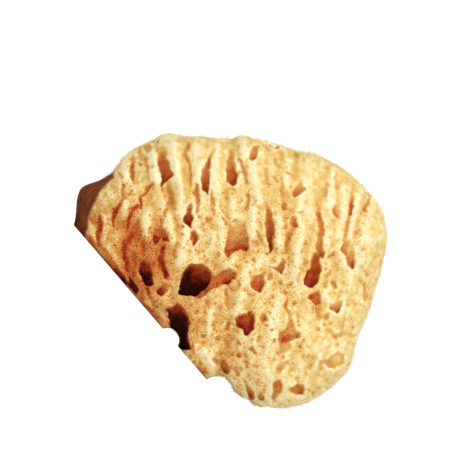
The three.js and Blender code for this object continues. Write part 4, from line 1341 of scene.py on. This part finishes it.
def fibre_density(tree, given):
    """Most on the ridges, few in the pits, none on the brown patch of painted shade or next to the
    cut.
    """
    place = tree.nodes.new("GeometryNodeInputPosition").outputs["Position"]
    height = add_node(tree, "ShaderNodeSeparateXYZ", {0: place}).outputs["Z"]
    on_ridges = mapped(tree, named_value(tree, "hollow"), 0.45, 0.65, 1.0, 0.15)
    off_patch = mapped(tree, named_value(tree, "skin"), 0.0, 0.5, 1.0, 0.0)
    over_cut = mapped(tree, height, 3.5 * MM, 5 * MM)
    share = product(tree, product(tree, on_ridges, off_patch), over_cut)
    return product(tree, share, given["Density"])


def random_vector(tree, limits, seed):
    inputs = {0: limits[0], 1: limits[1], "Seed": seed}
    return add_node(tree, "FunctionNodeRandomValue", inputs, data_type="FLOAT_VECTOR").outputs[0]


def fibre_tree(material):
    """Fibres scattered over a surface, with named inputs for how many and how large."""
    tree = bpy.data.node_groups.new("fibres on a surface", "GeometryNodeTree")
    tree_input(tree, "Surface", "NodeSocketGeometry")
    sizes = {name: tree_input(tree, name, "NodeSocketFloat") for name in FIBRES}
    tree.interface.new_socket("Fibres", in_out="OUTPUT", socket_type="NodeSocketGeometry")
    given = tree.nodes.new("NodeGroupInput").outputs
    spread = {"Mesh": given["Surface"], "Density": fibre_density(tree, given), "Seed": 17}
    scatter = add_node(tree, "GeometryNodeDistributePointsOnFaces", spread).outputs
    planted = {"Points": scatter["Points"], "Rotation": scatter["Rotation"]}
    planted["Instance"] = fibre_shape(tree, given)
    planted["Scale"] = random_vector(tree, FIBRE_SIZES, 3)
    fibres = add_node(tree, "GeometryNodeInstanceOnPoints", planted).outputs["Instances"]
    turns = {"Instances": fibres, "Rotation": random_vector(tree, FIBRE_TURNS, 5)}
    fibres = add_node(tree, "GeometryNodeRotateInstances", turns).outputs["Instances"]
    fibres = add_node(tree, "GeometryNodeRealizeInstances", {0: fibres}).outputs[0]
    coloured = {"Geometry": fibres, "Material": material}
    fibres = add_node(tree, "GeometryNodeSetMaterial", coloured).outputs["Geometry"]
    tree.links.new(fibres, tree.nodes.new("NodeGroupOutput").inputs[0])
    return tree, sizes


def sponge_fibres(body, material):
    """The short springy fibres that stand out of the skeleton, as one mesh."""
    fibres = add_object("sponge_fibres", body.data.copy())
    modifier = fibres.modifiers.new("fibres", "NODES")
    modifier.node_group, sizes = fibre_tree(material)
    for name, identifier in sizes.items():
        modifier[identifier] = FIBRES[name]
    evaluated = fibres.evaluated_get(bpy.context.evaluated_depsgraph_get())
    mesh = bpy.data.meshes.new_from_object(evaluated)
    fibres.modifiers.clear()
    fibres.data = mesh
    mesh.name = fibres.name
    return fibres


def photo_camera():
    """A look at the face from just over the floor, rolled so that the cut runs down to the right."""
    distance, view_width, height = 3.2, 0.230, 0.002
    middle = Vector((-MIDDLE_X * MM, MIDDLE_W * MM, CUT_DROP * MM))
    place = Vector((middle.x, middle.y - distance, height))
    back = (place - middle).normalized()
    level = Vector((1, 0, 0))
    upright = back.cross(level)
    right = level * math.cos(CUT_LEAN) + upright * math.sin(CUT_LEAN)
    up = upright * math.cos(CUT_LEAN) - level * math.sin(CUT_LEAN)
    data = bpy.data.cameras.new("camera")
    data.lens = data.sensor_width * distance / view_width
    data.clip_start = 0.1
    data.clip_end = 60
    camera = add_object("camera", data)
    matrix = Matrix((right, up, back)).transposed().to_4x4()
    matrix.translation = place
    camera.matrix_world = matrix
    bpy.context.scene.camera = camera


def sun(name, towards, strength, softness):
    """A soft light from a direction of the face view."""
    u, v, w = towards
    data = bpy.data.lights.new(name, "SUN")
    data.energy = strength
    data.angle = math.radians(softness)
    data.color = (1.0, 1.0, 0.97)
    light = add_object(name, data)
    across, up = stood_up(u, v)
    direction = Vector((across, -w, up))
    light.rotation_euler = direction.to_track_quat("Z", "Y").to_euler()
    light.location = direction.normalized()


def camera_rays(tree):
    return tree.nodes.new("ShaderNodeLightPath").outputs["Is Camera Ray"]


def pale_floor():
    """A wide plain floor that looks white, like the backdrop."""
    mesh = bpy.data.meshes.new("floor")
    reach, level = 25.0, -0.2 * MM
    corners = [(-reach, -reach), (reach, -reach), (reach, reach), (-reach, reach)]
    mesh.from_pydata([(x, y, level) for x, y in corners], [], [(0, 1, 2, 3)])
    floor = add_object("floor", mesh)
    material, tree, shader = new_material("pale floor")
    shader.inputs["Base Color"].default_value = (0.9, 0.9, 0.9, 1)
    shader.inputs["Roughness"].default_value = 0.9
    shader.inputs["Emission Color"].default_value = (1, 1, 1, 1)
    glow = mapped(tree, camera_rays(tree), 0, 1, 0.0, 0.55)
    tree.links.new(glow, shader.inputs["Emission Strength"])
    floor.data.materials.append(material)


def studio():
    """Warm soft light from all round and two suns. The camera sees the backdrop as plain white."""
    world = bpy.data.worlds.new("studio")
    bpy.context.scene.world = world
    world.use_nodes = True
    tree = world.node_tree
    background = tree.nodes["Background"]
    warm = blend_colour(tree, camera_rays(tree), WARM_LIGHT, (1.0, 1.0, 1.0))
    tree.links.new(warm, background.inputs["Color"])
    strength = mapped(tree, camera_rays(tree), 0, 1, 0.60, 1.05)
    tree.links.new(strength, background.inputs["Strength"])
    sun("key", (0.65, 0.44, 0.62), 1.42, 30)
    sun("front", (0.05, 0.0, 1.0), 0.38, 30)
    pale_floor()


photo_camera()
studio()
bpy.context.scene.view_settings.view_transform = "Standard"
body = sponge_body()
skeleton_look = skeleton_material()
body.data.materials.append(skeleton_look)
fibres = sponge_fibres(body, skeleton_look)
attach(body, "root")
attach(fibres, "root")
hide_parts("sponge")
